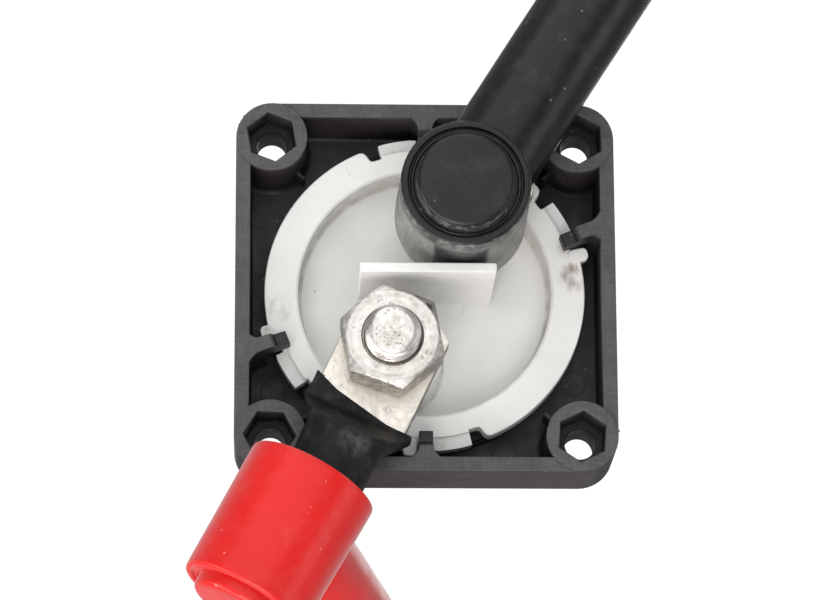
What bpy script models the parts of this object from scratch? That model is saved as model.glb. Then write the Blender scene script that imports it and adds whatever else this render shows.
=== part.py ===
"""Two-terminal rotary battery switch, seen as it sits in a panel.

World frame: origin at the centre of the rear rim, +Y out of the open back towards the
terminals, -Y towards the knob, +Z up. Everything is modelled on a bench frame whose local
z runs along world +Y, local x along world -X and local y along world +Z.
"""

import math

import bmesh
import bpy
from mathutils import Matrix, Vector

MM = 0.001

# Square housing
HOUSING_SIDE = 69 * MM
HOUSING_CORNER = 6.5 * MM
WALL = 2.7 * MM
RIM_Z = 0.0
FRONT_Z = -14.2 * MM
FLOOR_Z = -12 * MM
BOLT_SPACING = 56 * MM
BOSS_RADIUS = 6.5 * MM
BOSS_PROUD = 0.3 * MM
BOLT_HOLE_RADIUS = 2.8 * MM
NUT_POCKET_FLATS = 8.2 * MM
NUT_POCKET_DEPTH = 6 * MM
NUT_POCKET_TURNS = (-1, 39, 26, 32)

# Seat under the base's ring, and the seal lying on it
SEAT_RADIUS = 28.7 * MM
SEAT_BELOW_RING = 1.9 * MM
GASKET_INNER = 26 * MM
GASKET_OUTER = 28.4 * MM
GASKET_THICK = 1.3 * MM

# Hooks that hold the contact base, and the base's matching edge
HOOK_ANGLES = (20, 90, 200.5, 270)
HOOK_WIDTH = 2 * MM
HOOK_TIP_RADIUS = 26.6 * MM
HOOK_STEP_RADIUS = 29.4 * MM
HOOK_POST_RADIUS = 31.1 * MM

# Turret on the front of the housing
TURRET_RADIUS = 26.5 * MM
TURRET_INNER = 24 * MM
TURRET_FRONT_Z = -33 * MM
TURRET_WALL = 2.5 * MM

# Contact base
RING_TOP_Z = -5 * MM
RING_THICK = 3 * MM
RING_RADIUS = 29.2 * MM
RECESS_RADIUS = 23 * MM
RECESS_Z = -10.7 * MM
CUP_RADIUS = 25.3 * MM
CUP_BOTTOM_Z = -12.7 * MM
HUB_RADIUS = 7.4 * MM
HUB_TOP_Z = -9.2 * MM
BARRIER_HALF_LENGTH = 12.2 * MM
BARRIER_HALF_THICK = 0.9 * MM
BARRIER_OFFSET = -0.1 * MM
BARRIER_TOP_Z = 12 * MM

# Terminals
STUD_X = 6.4 * MM
STUD_Y = 12.6 * MM
STUD_RADIUS = 5 * MM
STUD_TIP_Z = 15.6 * MM
SHOULDER_RADIUS = 7.6 * MM
SHOULDER_Z = 0.1 * MM
STUD_HEAD_RADIUS = 9 * MM
STUD_HEAD_THICK = 2.5 * MM
BOSS_WALL = 1.5 * MM
LUG_THICK = 3 * MM
LUG_HALF_WIDTH = 9.1 * MM
LUG_NOSE = 9.4 * MM
LUG_SHOULDER = 5.4 * MM
LUG_FLAT_END = 9.8 * MM
POSITIVE_NECK = (13.5 * MM, 21 * MM)
NEGATIVE_NECK = (9.3 * MM, 15.8 * MM)
LUG_BARREL_END = 31 * MM
BARREL_RADIUS = 6.2 * MM
BARREL_BORE = 4.8 * MM
BARREL_Z = 8.6 * MM
NUT_FLATS = 17 * MM
NUT_THICK = 8 * MM
NUT_TURN = 40.5

LOWER_LUG_ANGLE = 244.6
UPPER_LUG_ANGLE = 57.9
SHRINK_RADIUS = 7 * MM
SHRINK_WALL = 0.5 * MM
SHRINK_OVER_PALM = 11.2 * MM
SHRINK_END = 36 * MM

# Boots: two of one pattern; the red hood is the deeper
HOOD_MOUTH_RADIUS = 12 * MM
HOOD_TOP_RADIUS = 11.6 * MM
BLACK_HOOD_H = 21.6 * MM
RED_HOOD_H = 25.4 * MM
LID_RISE = 2.4 * MM
LID_DISC_RADIUS = 8.75 * MM
LID_GROOVE_RADIUS = 10.2 * MM
HOOD_WALL = 0.8 * MM
SLEEVE_RADIUS = 8.9 * MM
SLEEVE_INNER = 8.1 * MM
SLEEVE_H = 10.4 * MM
SLEEVE_LENGTH = 56 * MM
BLACK_BOOT_PLACE = (6.4 * MM, 13.1 * MM, -1 * MM)
RED_BOOT_PLACE = (-20.4 * MM, -38.3 * MM, 10 * MM)
RED_BOOT_AXIS = (-0.478, -0.873, 0.085)
RED_SLEEVE_AXIS = (0.31, -0.264, -0.913)

# Moving contact
BRIDGE_HALF_LENGTH = 19.5 * MM
BRIDGE_HALF_WIDTH = 6 * MM
BRIDGE_THICK = 3 * MM
CONTACT_LIFT = 1.5 * MM
CONTACT_COIL_RADIUS = 4.4 * MM
CONTACT_WIRE_RADIUS = 0.6 * MM
KNOB_STROKE = 90

# Rotor
ROTOR_RADIUS = 20.8 * MM
ROTOR_TOP_Z = -24 * MM
ROTOR_BOTTOM_Z = -28.5 * MM
SPINDLE_RADIUS = 6 * MM
SPINDLE_SQUARE = 8 * MM
SPINDLE_END_Z = -46 * MM
O_RING_Z = -31.8 * MM
O_RING_RADIUS = 5.25 * MM
O_RING_CORD_RADIUS = 0.72 * MM
O_RING_GROOVE_RADIUS = 4.2 * MM
O_RING_GROOVE_HALF = 0.9 * MM
BALL_RADIUS = 1.5 * MM
BALL_PLACE = 20.3 * MM
BALL_TRAVEL = 0.6 * MM
DETENT_TRACK_RADIUS = 22.1 * MM
DETENT_BORE_START = 11.5 * MM
DETENT_COIL_RADIUS = 1.15 * MM
DETENT_WIRE_RADIUS = 0.25 * MM

# Knob
KNOB_RADIUS = 21 * MM
KNOB_BACK_Z = -34.8 * MM
KNOB_FACE_Z = -45 * MM
GRIP_FACE_Z = -58 * MM
KNOB_WALL = 2 * MM
KNOB_HUB_RADIUS = 8 * MM
GRIP_HALF_LENGTH = 20 * MM
GRIP_HALF_WIDTH = 6.8 * MM
SCREW_RADIUS = 1.4 * MM
SCREW_LENGTH = 11 * MM
SCREW_HEAD_RADIUS = 3.8 * MM
SCREW_HEAD_THICK = 2.4 * MM
SCREW_WELL_RADIUS = 4.4 * MM
CAP_RADIUS = 4.1 * MM
CAP_THICK = 3 * MM
DIAL_INNER = 10 * MM
DIAL_OUTER = 25 * MM
DIAL_THICK = 0.9 * MM

GAP = 0.3 * MM
ROUND = 40
SMALL_ROUND = 20


# ---------------------------------------------------------------- scene and materials

def clear_scene():
    for obj in list(bpy.data.objects):
        bpy.data.objects.remove(obj, do_unlink=True)


def finish(name, colour, roughness, metallic=0.0):
    """A Principled material of one colour."""
    material = bpy.data.materials.new(name)
    material.use_nodes = True
    shader = material.node_tree.nodes["Principled BSDF"]
    shader.inputs["Base Color"].default_value = (*colour, 1)
    shader.inputs["Roughness"].default_value = roughness
    shader.inputs["Metallic"].default_value = metallic
    return material


def empty(name, parent=None, place=(0, 0, 0), turn=(0, 0, 0)):
    frame = bpy.data.objects.new(name, None)
    bpy.context.scene.collection.objects.link(frame)
    frame.parent = parent
    frame.location = place
    frame.rotation_euler = turn
    return frame


def put(name, bm, material, parent):
    """Turns a bmesh into a named object and shades it smooth with its hard edges kept."""
    bmesh.ops.remove_doubles(bm, verts=bm.verts, dist=1e-7)
    bmesh.ops.recalc_face_normals(bm, faces=bm.faces)
    mesh = bpy.data.meshes.new(name)
    bm.to_mesh(mesh)
    bm.free()
    mesh.shade_smooth()
    mesh.set_sharp_from_angle(angle=math.radians(35))
    mesh.materials.append(material)
    obj = bpy.data.objects.new(name, mesh)
    bpy.context.scene.collection.objects.link(obj)
    obj.parent = parent
    return obj


def shape(obj, operation, name, bm, solver="EXACT"):
    """Adds a Boolean of the given shape, which stays hidden as a helper."""
    helper = put(name, bm, obj.data.materials[0], obj.parent)
    helper.hide_render = True
    helper.display_type = "WIRE"
    modifier = obj.modifiers.new(name, "BOOLEAN")
    modifier.operation = operation
    modifier.solver = solver
    modifier.object = helper


def join(obj, name, bm):
    shape(obj, "UNION", name, bm)


def cut(obj, name, bm):
    shape(obj, "DIFFERENCE", name, bm)


# ---------------------------------------------------------------- outlines and solids

def polar(radius, degrees):
    angle = math.radians(degrees)
    return radius * math.cos(angle), radius * math.sin(angle)


def circle(radius, steps=ROUND, centre=(0, 0)):
    points = (polar(radius, 360 * i / steps) for i in range(steps))
    return [(centre[0] + x, centre[1] + y) for x, y in points]


def rounded_rectangle(half_x, half_y, radius, steps=6):
    outline = []
    for quarter, (sx, sy) in enumerate(((1, 1), (-1, 1), (-1, -1), (1, -1))):
        for i in range(steps + 1):
            x, y = polar(radius, 90 * (quarter + i / steps))
            outline.append((sx * (half_x - radius) + x, sy * (half_y - radius) + y))
    return outline


def rectangle(x0, x1, y0, y1):
    return [(x0, y0), (x1, y0), (x1, y1), (x0, y1)]


def hexagon(across_flats, turn, centre=(0, 0)):
    radius = across_flats / 2 / math.cos(math.radians(30))
    points = (polar(radius, turn + 60 * i) for i in range(6))
    return [(centre[0] + x, centre[1] + y) for x, y in points]


def prism(bm, outline, low, high):
    """Adds a closed extrusion of a counter-clockwise outline."""
    face = bm.faces.new([bm.verts.new((x, y, low)) for x, y in outline])
    grown = bmesh.ops.extrude_face_region(bm, geom=[face], use_keep_orig=True)["geom"]
    top = [item for item in grown if isinstance(item, bmesh.types.BMVert)]
    bmesh.ops.translate(bm, verts=top, vec=(0, 0, high - low))
    return bm


def turned(bm, profile, steps=ROUND, centre=(0, 0)):
    """Adds the solid that a closed profile of (radius, z) points sweeps about an upright axis."""
    verts = [bm.verts.new((centre[0] + r, centre[1], z)) for r, z in profile]
    ends = list(zip(verts, verts[1:]))
    if profile[0][0] > 0 or profile[-1][0] > 0:
        ends.append((verts[-1], verts[0]))
    edges = [bm.edges.new(pair) for pair in ends]
    bmesh.ops.spin(
        bm,
        geom=verts + edges,
        axis=(0, 0, 1),
        cent=(*centre, 0),
        angle=2 * math.pi,
        steps=steps,
        use_merge=True,
    )
    bmesh.ops.remove_doubles(bm, verts=bm.verts, dist=1e-7)
    return bm


def cylinder(radius, low, high, steps=ROUND, centre=(0, 0)):
    return prism(bmesh.new(), circle(radius, steps, centre), low, high)


def section(x, half_width, half_height, z, power, steps):
    """A closed ring across x: an ellipse at power 2, squarer as the power rises."""
    ring = []
    for i in range(steps):
        angle = 2 * math.pi * (i + 0.5) / steps
        c, s = math.cos(angle), math.sin(angle)
        y = math.copysign(half_width * abs(c) ** (2 / power), c)
        dz = math.copysign(half_height * abs(s) ** (2 / power), s)
        ring.append(Vector((x, y, z + dz)))
    return ring


def bridge(bm, first, second):
    for i, vert in enumerate(first):
        after = (i + 1) % len(first)
        bm.faces.new((vert, first[after], second[after], second[i]))


def lofted(bm, outer, inner=None):
    """Adds a solid through the outer rings, or a tube when inner rings are given."""
    shells = [[[bm.verts.new(p) for p in ring] for ring in rings] for rings in (outer, inner or [])]
    for rings in shells:
        for first, second in zip(rings, rings[1:]):
            bridge(bm, first, second)
    for end in (0, -1):
        if inner:
            bridge(bm, shells[0][end], shells[1][end])
        else:
            bm.faces.new(shells[0][end])
    return bm


def coil(bm, radius, wire, low, high, turns, per_turn=14, sides=6):
    """Adds a round-wire helix about z, closed at both ends."""
    rise = (high - low - 2 * wire) / turns
    rings = []
    for i in range(int(turns * per_turn) + 1):
        part = i / per_turn
        out = Vector((*polar(1, 360 * part), 0))
        centre = out * radius + Vector((0, 0, low + wire + rise * part))
        ring = []
        for k in range(sides):
            a, b = polar(wire, 360 * k / sides)
            ring.append(centre + out * a + Vector((0, 0, b)))
        rings.append(ring)
    return lofted(bm, rings)


def moved(bm, matrix):
    bmesh.ops.transform(bm, matrix=matrix, verts=bm.verts)
    return bm


def radial_turn(degrees, height):
    """Lays an upright shape out along a radius of the rotor at the given height."""
    lay = Matrix.Rotation(math.radians(90), 4, "Y")
    swing = Matrix.Rotation(math.radians(degrees), 4, "Z")
    return Matrix.Translation((0, 0, height)) @ swing @ lay


def add_mesh(bm, other):
    mesh = bpy.data.meshes.new("copy")
    other.to_mesh(mesh)
    other.free()
    bm.from_mesh(mesh)
    bpy.data.meshes.remove(mesh)


def four_corners():
    half = BOLT_SPACING / 2
    return [(sx * half, sy * half) for sx in (-1, 1) for sy in (-1, 1)]


# ---------------------------------------------------------------- housing

def make_housing(parent, material):
    """The moulded body: an open square back with corner bosses, and a round turret in front."""
    half = HOUSING_SIDE / 2
    inner = half - WALL
    body = prism(bmesh.new(), rounded_rectangle(half, half, HOUSING_CORNER), FRONT_Z, RIM_Z)
    housing = put("housing", body, material, parent)
    cavity = rounded_rectangle(inner, inner, HOUSING_CORNER - WALL)
    cut(housing, "housing_cavity", prism(bmesh.new(), cavity, FLOOR_Z, RIM_Z + WALL))

    bosses = bmesh.new()
    for corner in four_corners():
        prism(bosses, circle(BOSS_RADIUS - 0.02 * MM, 24, corner), FLOOR_Z - MM, RIM_Z + BOSS_PROUD)
    join(housing, "corner_bosses", bosses)

    turret = cylinder(TURRET_RADIUS, TURRET_FRONT_Z, FLOOR_Z - MM, ROUND)
    join(housing, "turret", turret)
    seat_top = RING_TOP_Z - RING_THICK - SEAT_BELOW_RING
    join(housing, "base_seat", cylinder(SEAT_RADIUS, FLOOR_Z - MM, seat_top, ROUND))
    join(housing, "hooks", hook_shapes(inner))

    opening = CUP_RADIUS + 0.4 * MM
    track_top = ROTOR_TOP_Z + MM
    track_bottom = ROTOR_BOTTOM_Z - 0.5 * MM
    turret_floor = TURRET_FRONT_Z + TURRET_WALL
    bore = [
        (0, RIM_Z),
        (opening, RIM_Z - 9 * MM),
        (opening, CUP_BOTTOM_Z - 0.4 * MM),
        (TURRET_INNER, CUP_BOTTOM_Z - 0.4 * MM),
        (TURRET_INNER, track_top),
        (DETENT_TRACK_RADIUS, track_top),
        (DETENT_TRACK_RADIUS, track_bottom),
        (TURRET_INNER, track_bottom),
        (TURRET_INNER, turret_floor),
        (SPINDLE_RADIUS + GAP, turret_floor),
        (SPINDLE_RADIUS + GAP, TURRET_FRONT_Z - MM),
        (0, TURRET_FRONT_Z - MM),
    ]
    cut(housing, "turret_bore", turned(bmesh.new(), bore, ROUND))

    dimples = bmesh.new()
    for angle in (0, 90, 180, 270):
        spot = polar(DETENT_TRACK_RADIUS, detent_angle() + angle)
        prism(dimples, circle(1.4 * MM, 16, spot), track_bottom - MM, track_top + MM)
    cut(housing, "detent_dimples", dimples)

    holes = bmesh.new()
    pockets = bmesh.new()
    for corner, turn in zip(four_corners(), NUT_POCKET_TURNS):
        prism(holes, circle(BOLT_HOLE_RADIUS, SMALL_ROUND, corner), FRONT_Z - MM, RIM_Z + MM)
        pocket = hexagon(NUT_POCKET_FLATS, turn, corner)
        prism(pockets, pocket, RIM_Z - NUT_POCKET_DEPTH, RIM_Z + MM)
    cut(housing, "bolt_holes", holes)
    cut(housing, "nut_pockets", pockets)
    return housing


def hook_shapes(inner):
    """Four ribs that stand in from the walls, each with a lower catch over the base's edge."""
    under = RING_TOP_Z + GAP
    bm = bmesh.new()
    half = HOOK_WIDTH / 2
    for angle in HOOK_ANGLES:
        nearest_axis = 90 * round(angle / 90)
        reach = (inner + 0.5 * MM) / math.cos(math.radians(angle - nearest_axis))
        side = [
            (HOOK_TIP_RADIUS, under),
            (HOOK_POST_RADIUS, under),
            (HOOK_POST_RADIUS, FLOOR_Z - 0.5 * MM),
            (reach, FLOOR_Z - 0.5 * MM),
            (reach, RIM_Z - 0.05 * MM),
            (HOOK_STEP_RADIUS, RIM_Z - 0.05 * MM),
            (HOOK_STEP_RADIUS - 0.6 * MM, RIM_Z - 1.6 * MM),
            (HOOK_TIP_RADIUS, RIM_Z - 1.9 * MM),
        ]
        hook = prism(bmesh.new(), side, -half, half)
        upright = Matrix.Rotation(math.radians(90), 4, "X")
        moved(hook, Matrix.Rotation(math.radians(angle), 4, "Z") @ upright)
        add_mesh(bm, hook)
    return bm


# ---------------------------------------------------------------- contact base and terminals

def base_edge():
    """The edge of the base: for each hook a locating pin, a tab, a notch and a rounded corner."""
    pin, tab, notch = 30.6 * MM, 29.4 * MM, 26.8 * MM
    steps = (
        (-7.3, RING_RADIUS), (-7.2, pin), (-2.8, pin), (-2.7, 28 * MM), (2.9, 28 * MM),
        (3, tab), (8, tab), (12, tab), (16.7, tab), (16.9, notch), (19.2, notch),
        (21.6, notch), (22.2, 28.2 * MM), (22.9, 28.9 * MM), (24, RING_RADIUS),
    )
    outline = []
    for index, angle in enumerate(HOOK_ANGLES):
        outline += [polar(radius, angle + offset) for offset, radius in steps]
        following = HOOK_ANGLES[(index + 1) % 4] + (360 if index == 3 else 0)
        start, end = angle + 24, following - 7.3
        count = 8 if end - start < 60 else 14
        outline += [polar(RING_RADIUS, start + (end - start) * i / count) for i in range(1, count)]
    return outline


def studs():
    return ((-STUD_X, -STUD_Y), (STUD_X, STUD_Y))


def make_contact_base(parent, material):
    ring_bottom = RING_TOP_Z - RING_THICK
    base = put("contact_base", prism(bmesh.new(), base_edge(), ring_bottom, RING_TOP_Z), material, parent)
    join(base, "base_cup", cylinder(CUP_RADIUS, CUP_BOTTOM_Z, ring_bottom + MM, ROUND))
    cut(base, "base_recess", cylinder(RECESS_RADIUS, RECESS_Z, RING_TOP_Z + MM, ROUND))
    root = RECESS_Z - MM
    join(base, "base_hub", cylinder(HUB_RADIUS, root, HUB_TOP_Z, 32))
    boss_radius = SHOULDER_RADIUS + GAP + BOSS_WALL
    boss_top = SHOULDER_Z - 0.1 * MM
    for index, centre in enumerate(studs()):
        join(base, f"stud_boss_{index}", cylinder(boss_radius, root, boss_top, 32, centre))
    near, far = BARRIER_OFFSET - BARRIER_HALF_THICK, BARRIER_OFFSET + BARRIER_HALF_THICK
    wall = rectangle(-BARRIER_HALF_LENGTH, BARRIER_HALF_LENGTH, near, far)
    join(base, "barrier", prism(bmesh.new(), wall, root - 0.2 * MM, BARRIER_TOP_Z))
    bores = bmesh.new()
    for centre in studs():
        prism(bores, circle(SHOULDER_RADIUS + GAP, 32, centre), CUP_BOTTOM_Z - MM, boss_top + MM)
    cut(base, "stud_bores", bores)
    return base


def make_gasket(parent, material):
    bottom = RING_TOP_Z - RING_THICK - SEAT_BELOW_RING + GAP
    ring = rectangle(GASKET_INNER, GASKET_OUTER, bottom, bottom + GASKET_THICK)
    return put("base_gasket", turned(bmesh.new(), ring, ROUND), material, parent)


def make_stud(name, centre, parent, material):
    head_top = CUP_BOTTOM_Z - GAP
    chamfer = 1 * MM
    profile = [
        (0, STUD_TIP_Z),
        (STUD_RADIUS - chamfer, STUD_TIP_Z),
        (STUD_RADIUS, STUD_TIP_Z - chamfer),
        (STUD_RADIUS, SHOULDER_Z),
        (SHOULDER_RADIUS, SHOULDER_Z),
        (SHOULDER_RADIUS, head_top),
        (STUD_HEAD_RADIUS, head_top),
        (STUD_HEAD_RADIUS, head_top - STUD_HEAD_THICK),
        (0, head_top - STUD_HEAD_THICK),
    ]
    return put(name, turned(bmesh.new(), profile, 24, centre), material, parent)


def make_nut(name, centre, parent, material):
    low = SHOULDER_Z + LUG_THICK + 2 * GAP
    high = low + NUT_THICK
    nut = put(name, prism(bmesh.new(), hexagon(NUT_FLATS, NUT_TURN, centre), low, high), material, parent)
    face = 8.2 * MM
    beyond = 10.6 * MM
    drop = (beyond - face) * math.tan(math.radians(30))
    crown = [(0, high), (face, high), (beyond, high - drop), (beyond, low + drop), (face, low), (0, low)]
    shape(nut, "INTERSECT", name + "_crown", turned(bmesh.new(), crown, 24, centre))
    cut(nut, name + "_bore", cylinder(STUD_RADIUS + GAP, low - MM, high + MM, 24, centre))
    return nut


def lug_rings(grow, flat_start, neck):
    """Rings of the lug from its flat palm along its neck to the barrel, grown outwards by grow."""
    palm_z = SHOULDER_Z + GAP + LUG_THICK / 2
    start, end = neck
    rings = []
    count = 6
    for i in range(count + 1):
        part = i / count
        ease = part * part * (3 - 2 * part)
        x = start + (end - start) * part
        half_width = LUG_HALF_WIDTH + (BARREL_RADIUS - LUG_HALF_WIDTH) * ease - 0.05 * MM
        half_height = LUG_THICK / 2 + (BARREL_RADIUS - LUG_THICK / 2) * ease - 0.05 * MM
        z = palm_z + (BARREL_Z - palm_z) * ease
        power = 8 - 6 * ease
        rings.append(section(x, half_width + grow, half_height + grow, z, power, SMALL_ROUND))
    flat = [Vector((flat_start, point.y, point.z)) for point in rings[0]]
    return [flat, *rings]


def make_lug(name, centre, angle, neck, parent, material):
    palm_low = SHOULDER_Z + GAP
    outline = [
        (-LUG_NOSE, -3 * MM),
        (-LUG_SHOULDER, -LUG_HALF_WIDTH),
        (LUG_FLAT_END, -LUG_HALF_WIDTH),
        (LUG_FLAT_END, LUG_HALF_WIDTH),
        (-LUG_SHOULDER, LUG_HALF_WIDTH),
        (-LUG_NOSE, 3 * MM),
    ]
    holder = empty(name + "_place", parent, (*centre, 0), (0, 0, math.radians(angle)))
    lug = put(name, prism(bmesh.new(), outline, palm_low, palm_low + LUG_THICK), material, holder)
    rings = lug_rings(0, LUG_FLAT_END - MM, neck)
    radius = BARREL_RADIUS - 0.05 * MM
    rings.append(section(LUG_BARREL_END, radius, radius, BARREL_Z, 2, SMALL_ROUND))
    join(lug, name + "_barrel", lofted(bmesh.new(), rings))
    cut(lug, name + "_hole", cylinder(STUD_RADIUS + 0.35 * MM, palm_low - MM, palm_low + LUG_THICK + MM, 24))
    bore = lofted(
        bmesh.new(),
        [section(x, BARREL_BORE, BARREL_BORE, BARREL_Z, 2, 20) for x in (22.5 * MM, LUG_BARREL_END + MM)],
    )
    cut(lug, name + "_bore", bore)
    return lug


def make_shrink(name, centre, angle, neck, parent, material, over_palm):
    """The shrink sleeve over a barrel. The one over the palm starts flat and wide."""
    holder = empty(name + "_place", parent, (*centre, 0), (0, 0, math.radians(angle)))
    shells = []
    for grow, radius in ((GAP + SHRINK_WALL, SHRINK_RADIUS), (GAP, BARREL_RADIUS + GAP)):
        if over_palm:
            rings = lug_rings(grow, SHRINK_OVER_PALM, neck)
        else:
            rings = [section(neck[1] + 2 * GAP, radius, radius, BARREL_Z, 2, SMALL_ROUND)]
        rings.append(section(SHRINK_END, radius, radius, BARREL_Z, 2, SMALL_ROUND))
        shells.append(rings)
    return put(name, lofted(bmesh.new(), *shells), material, holder)


def make_boot(name, hood_height, frame, material):
    """A soft cover: a hood whose mouth is at local z = 0, and a sleeve along local x."""
    hood = [
        (0, hood_height + LID_RISE),
        (LID_DISC_RADIUS, hood_height + LID_RISE),
        (LID_DISC_RADIUS, hood_height - MM),
        (LID_GROOVE_RADIUS, hood_height - MM),
        (LID_GROOVE_RADIUS, hood_height),
        (HOOD_TOP_RADIUS, hood_height),
        (HOOD_TOP_RADIUS, hood_height - 2.4 * MM),
        (HOOD_MOUTH_RADIUS, 0),
        (0, 0),
    ]
    boot = put(name, turned(bmesh.new(), hood, 32), material, frame)
    sleeve = [section(x, SLEEVE_RADIUS, SLEEVE_RADIUS, SLEEVE_H, 2, 32) for x in (4 * MM, SLEEVE_LENGTH)]
    join(boot, name + "_sleeve", lofted(bmesh.new(), sleeve))
    inside = HOOD_MOUTH_RADIUS - HOOD_WALL
    cavity = [
        (0, hood_height - 3 * MM),
        (HOOD_TOP_RADIUS - HOOD_WALL, hood_height - 3 * MM),
        (inside, -MM),
        (0, -MM),
    ]
    cut(boot, name + "_cavity", turned(bmesh.new(), cavity, 32))
    ends = (2 * MM, SLEEVE_LENGTH + MM)
    bore = [section(x, SLEEVE_INNER, SLEEVE_INNER, SLEEVE_H, 2, 32) for x in ends]
    cut(boot, name + "_sleeve_bore", lofted(bmesh.new(), bore))
    return boot


def cut_lug_room(boot):
    """Opens the mouth of a fitted boot where the lug's palm and neck pass through."""
    low = -2 * MM
    lug_room = (
        (1 * MM, 9.6 * MM, 6 * MM),
        (9 * MM, 9.6 * MM, 6 * MM),
        (11 * MM, 9.3 * MM, 9 * MM),
        (16 * MM, 6.8 * MM, 13 * MM),
    )
    rings = [
        [Vector((x, y, z)) for y, z in rectangle(-reach, reach, low, top)] for x, reach, top in lug_room
    ]
    shape(boot, "DIFFERENCE", "lug_relief", lofted(bmesh.new(), rings), "MANIFOLD")


def boot_frame(name, parent, place, z_axis, x_axis):
    """An empty with its z along the hood and its x along the sleeve."""
    z = Vector(z_axis).normalized()
    x = Vector(x_axis)
    x = (x - z * x.dot(z)).normalized()
    y = z.cross(x)
    frame = empty(name, parent)
    turn = Matrix((x, y, z)).transposed().to_4x4()
    frame.matrix_local = Matrix.Translation(place) @ turn
    return frame


# ---------------------------------------------------------------- moving contact, rotor, knob

def contact_angle():
    """Direction of the line through both studs, which the closed contact lies along."""
    return math.degrees(math.atan2(STUD_Y, STUD_X))


def detent_angle():
    return contact_angle() + 45


def make_bridge(parent, material):
    """The moving contact, in its open place: across the stud line and drawn back."""
    top = CUP_BOTTOM_Z - GAP - STUD_HEAD_THICK - GAP - CONTACT_LIFT
    outline = rounded_rectangle(BRIDGE_HALF_LENGTH, BRIDGE_HALF_WIDTH, 2 * MM, 3)
    return put("contact_bridge", prism(bmesh.new(), outline, top - BRIDGE_THICK, top), material, parent)


def make_rotor(parent, material):
    carrier_top = CUP_BOTTOM_Z - GAP - STUD_HEAD_THICK - 0.9 * MM
    profile = [
        (0, ROTOR_TOP_Z),
        (ROTOR_RADIUS, ROTOR_TOP_Z),
        (ROTOR_RADIUS, ROTOR_BOTTOM_Z),
        (SPINDLE_RADIUS + 2 * MM, ROTOR_BOTTOM_Z),
        (SPINDLE_RADIUS + 2 * MM, TURRET_FRONT_Z + TURRET_WALL + GAP),
        (SPINDLE_RADIUS, TURRET_FRONT_Z + TURRET_WALL + GAP),
        (SPINDLE_RADIUS, O_RING_Z + O_RING_GROOVE_HALF),
        (O_RING_GROOVE_RADIUS, O_RING_Z + O_RING_GROOVE_HALF),
        (O_RING_GROOVE_RADIUS, O_RING_Z - O_RING_GROOVE_HALF),
        (SPINDLE_RADIUS, O_RING_Z - O_RING_GROOVE_HALF),
        (SPINDLE_RADIUS, TURRET_FRONT_Z - MM),
        (0, TURRET_FRONT_Z - MM),
    ]
    rotor = put("rotor", turned(bmesh.new(), profile, 32), material, parent)
    half = SPINDLE_SQUARE / 2
    square = rounded_rectangle(half, half, 0.8 * MM, 2)
    drive = prism(bmesh.new(), square, SPINDLE_END_Z, TURRET_FRONT_Z)
    squared_up = Matrix.Rotation(math.radians(KNOB_STROKE - contact_angle()), 4, "Z")
    join(rotor, "spindle_drive", moved(drive, squared_up))
    cheeks = bmesh.new()
    inner = BRIDGE_HALF_WIDTH + GAP
    for side in (-1, 1):
        cheek = rectangle(-9 * MM, 9 * MM, *sorted((side * inner, side * (inner + 2 * MM))))
        prism(cheeks, cheek, ROTOR_TOP_Z - MM, carrier_top)
    join(rotor, "bridge_cheeks", cheeks)
    cut(rotor, "spring_pocket", cylinder(6 * MM, ROTOR_TOP_Z - 3.5 * MM, ROTOR_TOP_Z + MM, SMALL_ROUND))
    cut(rotor, "screw_hole", cylinder(1.8 * MM, SPINDLE_END_Z - MM, SPINDLE_END_Z + 10 * MM, 16))
    middle = (ROTOR_TOP_Z + ROTOR_BOTTOM_Z) / 2
    bores = bmesh.new()
    for turn in (0, 180):
        bore = cylinder(BALL_RADIUS + GAP, DETENT_BORE_START, ROTOR_RADIUS + MM, 16)
        moved(bore, radial_turn(45 + turn, middle))
        add_mesh(bores, bore)
    cut(rotor, "detent_bores", bores)
    return rotor


def make_detents(parent, steel):
    middle = (ROTOR_TOP_Z + ROTOR_BOTTOM_Z) / 2
    for index, turn in enumerate((0, 180), 1):
        direction = polar(BALL_PLACE, 45 + turn)
        holder = empty(f"detent_{index}_place", parent, (*direction, middle))
        ball = bmesh.new()
        bmesh.ops.create_icosphere(ball, subdivisions=2, radius=BALL_RADIUS)
        put(f"detent_ball_{index}", ball, steel, holder)
        end = BALL_PLACE - BALL_RADIUS - BALL_TRAVEL - GAP
        start = DETENT_BORE_START + 0.4 * MM
        spring = coil(bmesh.new(), DETENT_COIL_RADIUS, DETENT_WIRE_RADIUS, start, end, 4, 8, 4)
        put(f"detent_spring_{index}", moved(spring, radial_turn(45 + turn, middle)), steel, parent)


def make_contact_spring(parent, material):
    low = ROTOR_TOP_Z - 3.5 * MM + GAP
    top = CUP_BOTTOM_Z - 2 * GAP - STUD_HEAD_THICK - CONTACT_LIFT - BRIDGE_THICK - GAP
    spring = coil(bmesh.new(), CONTACT_COIL_RADIUS, CONTACT_WIRE_RADIUS, low, top, 4, 12, 5)
    return put("contact_spring", spring, material, parent)


def make_o_ring(parent, material):
    ring = circle(O_RING_CORD_RADIUS, 8, (O_RING_RADIUS, O_RING_Z))
    return put("spindle_o_ring", turned(bmesh.new(), ring, 24), material, parent)


def make_dial_ring(parent, material):
    top = TURRET_FRONT_Z - GAP
    ring = rectangle(DIAL_INNER, DIAL_OUTER, top - DIAL_THICK, top)
    return put("dial_ring", turned(bmesh.new(), ring, ROUND), material, parent)


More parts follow.
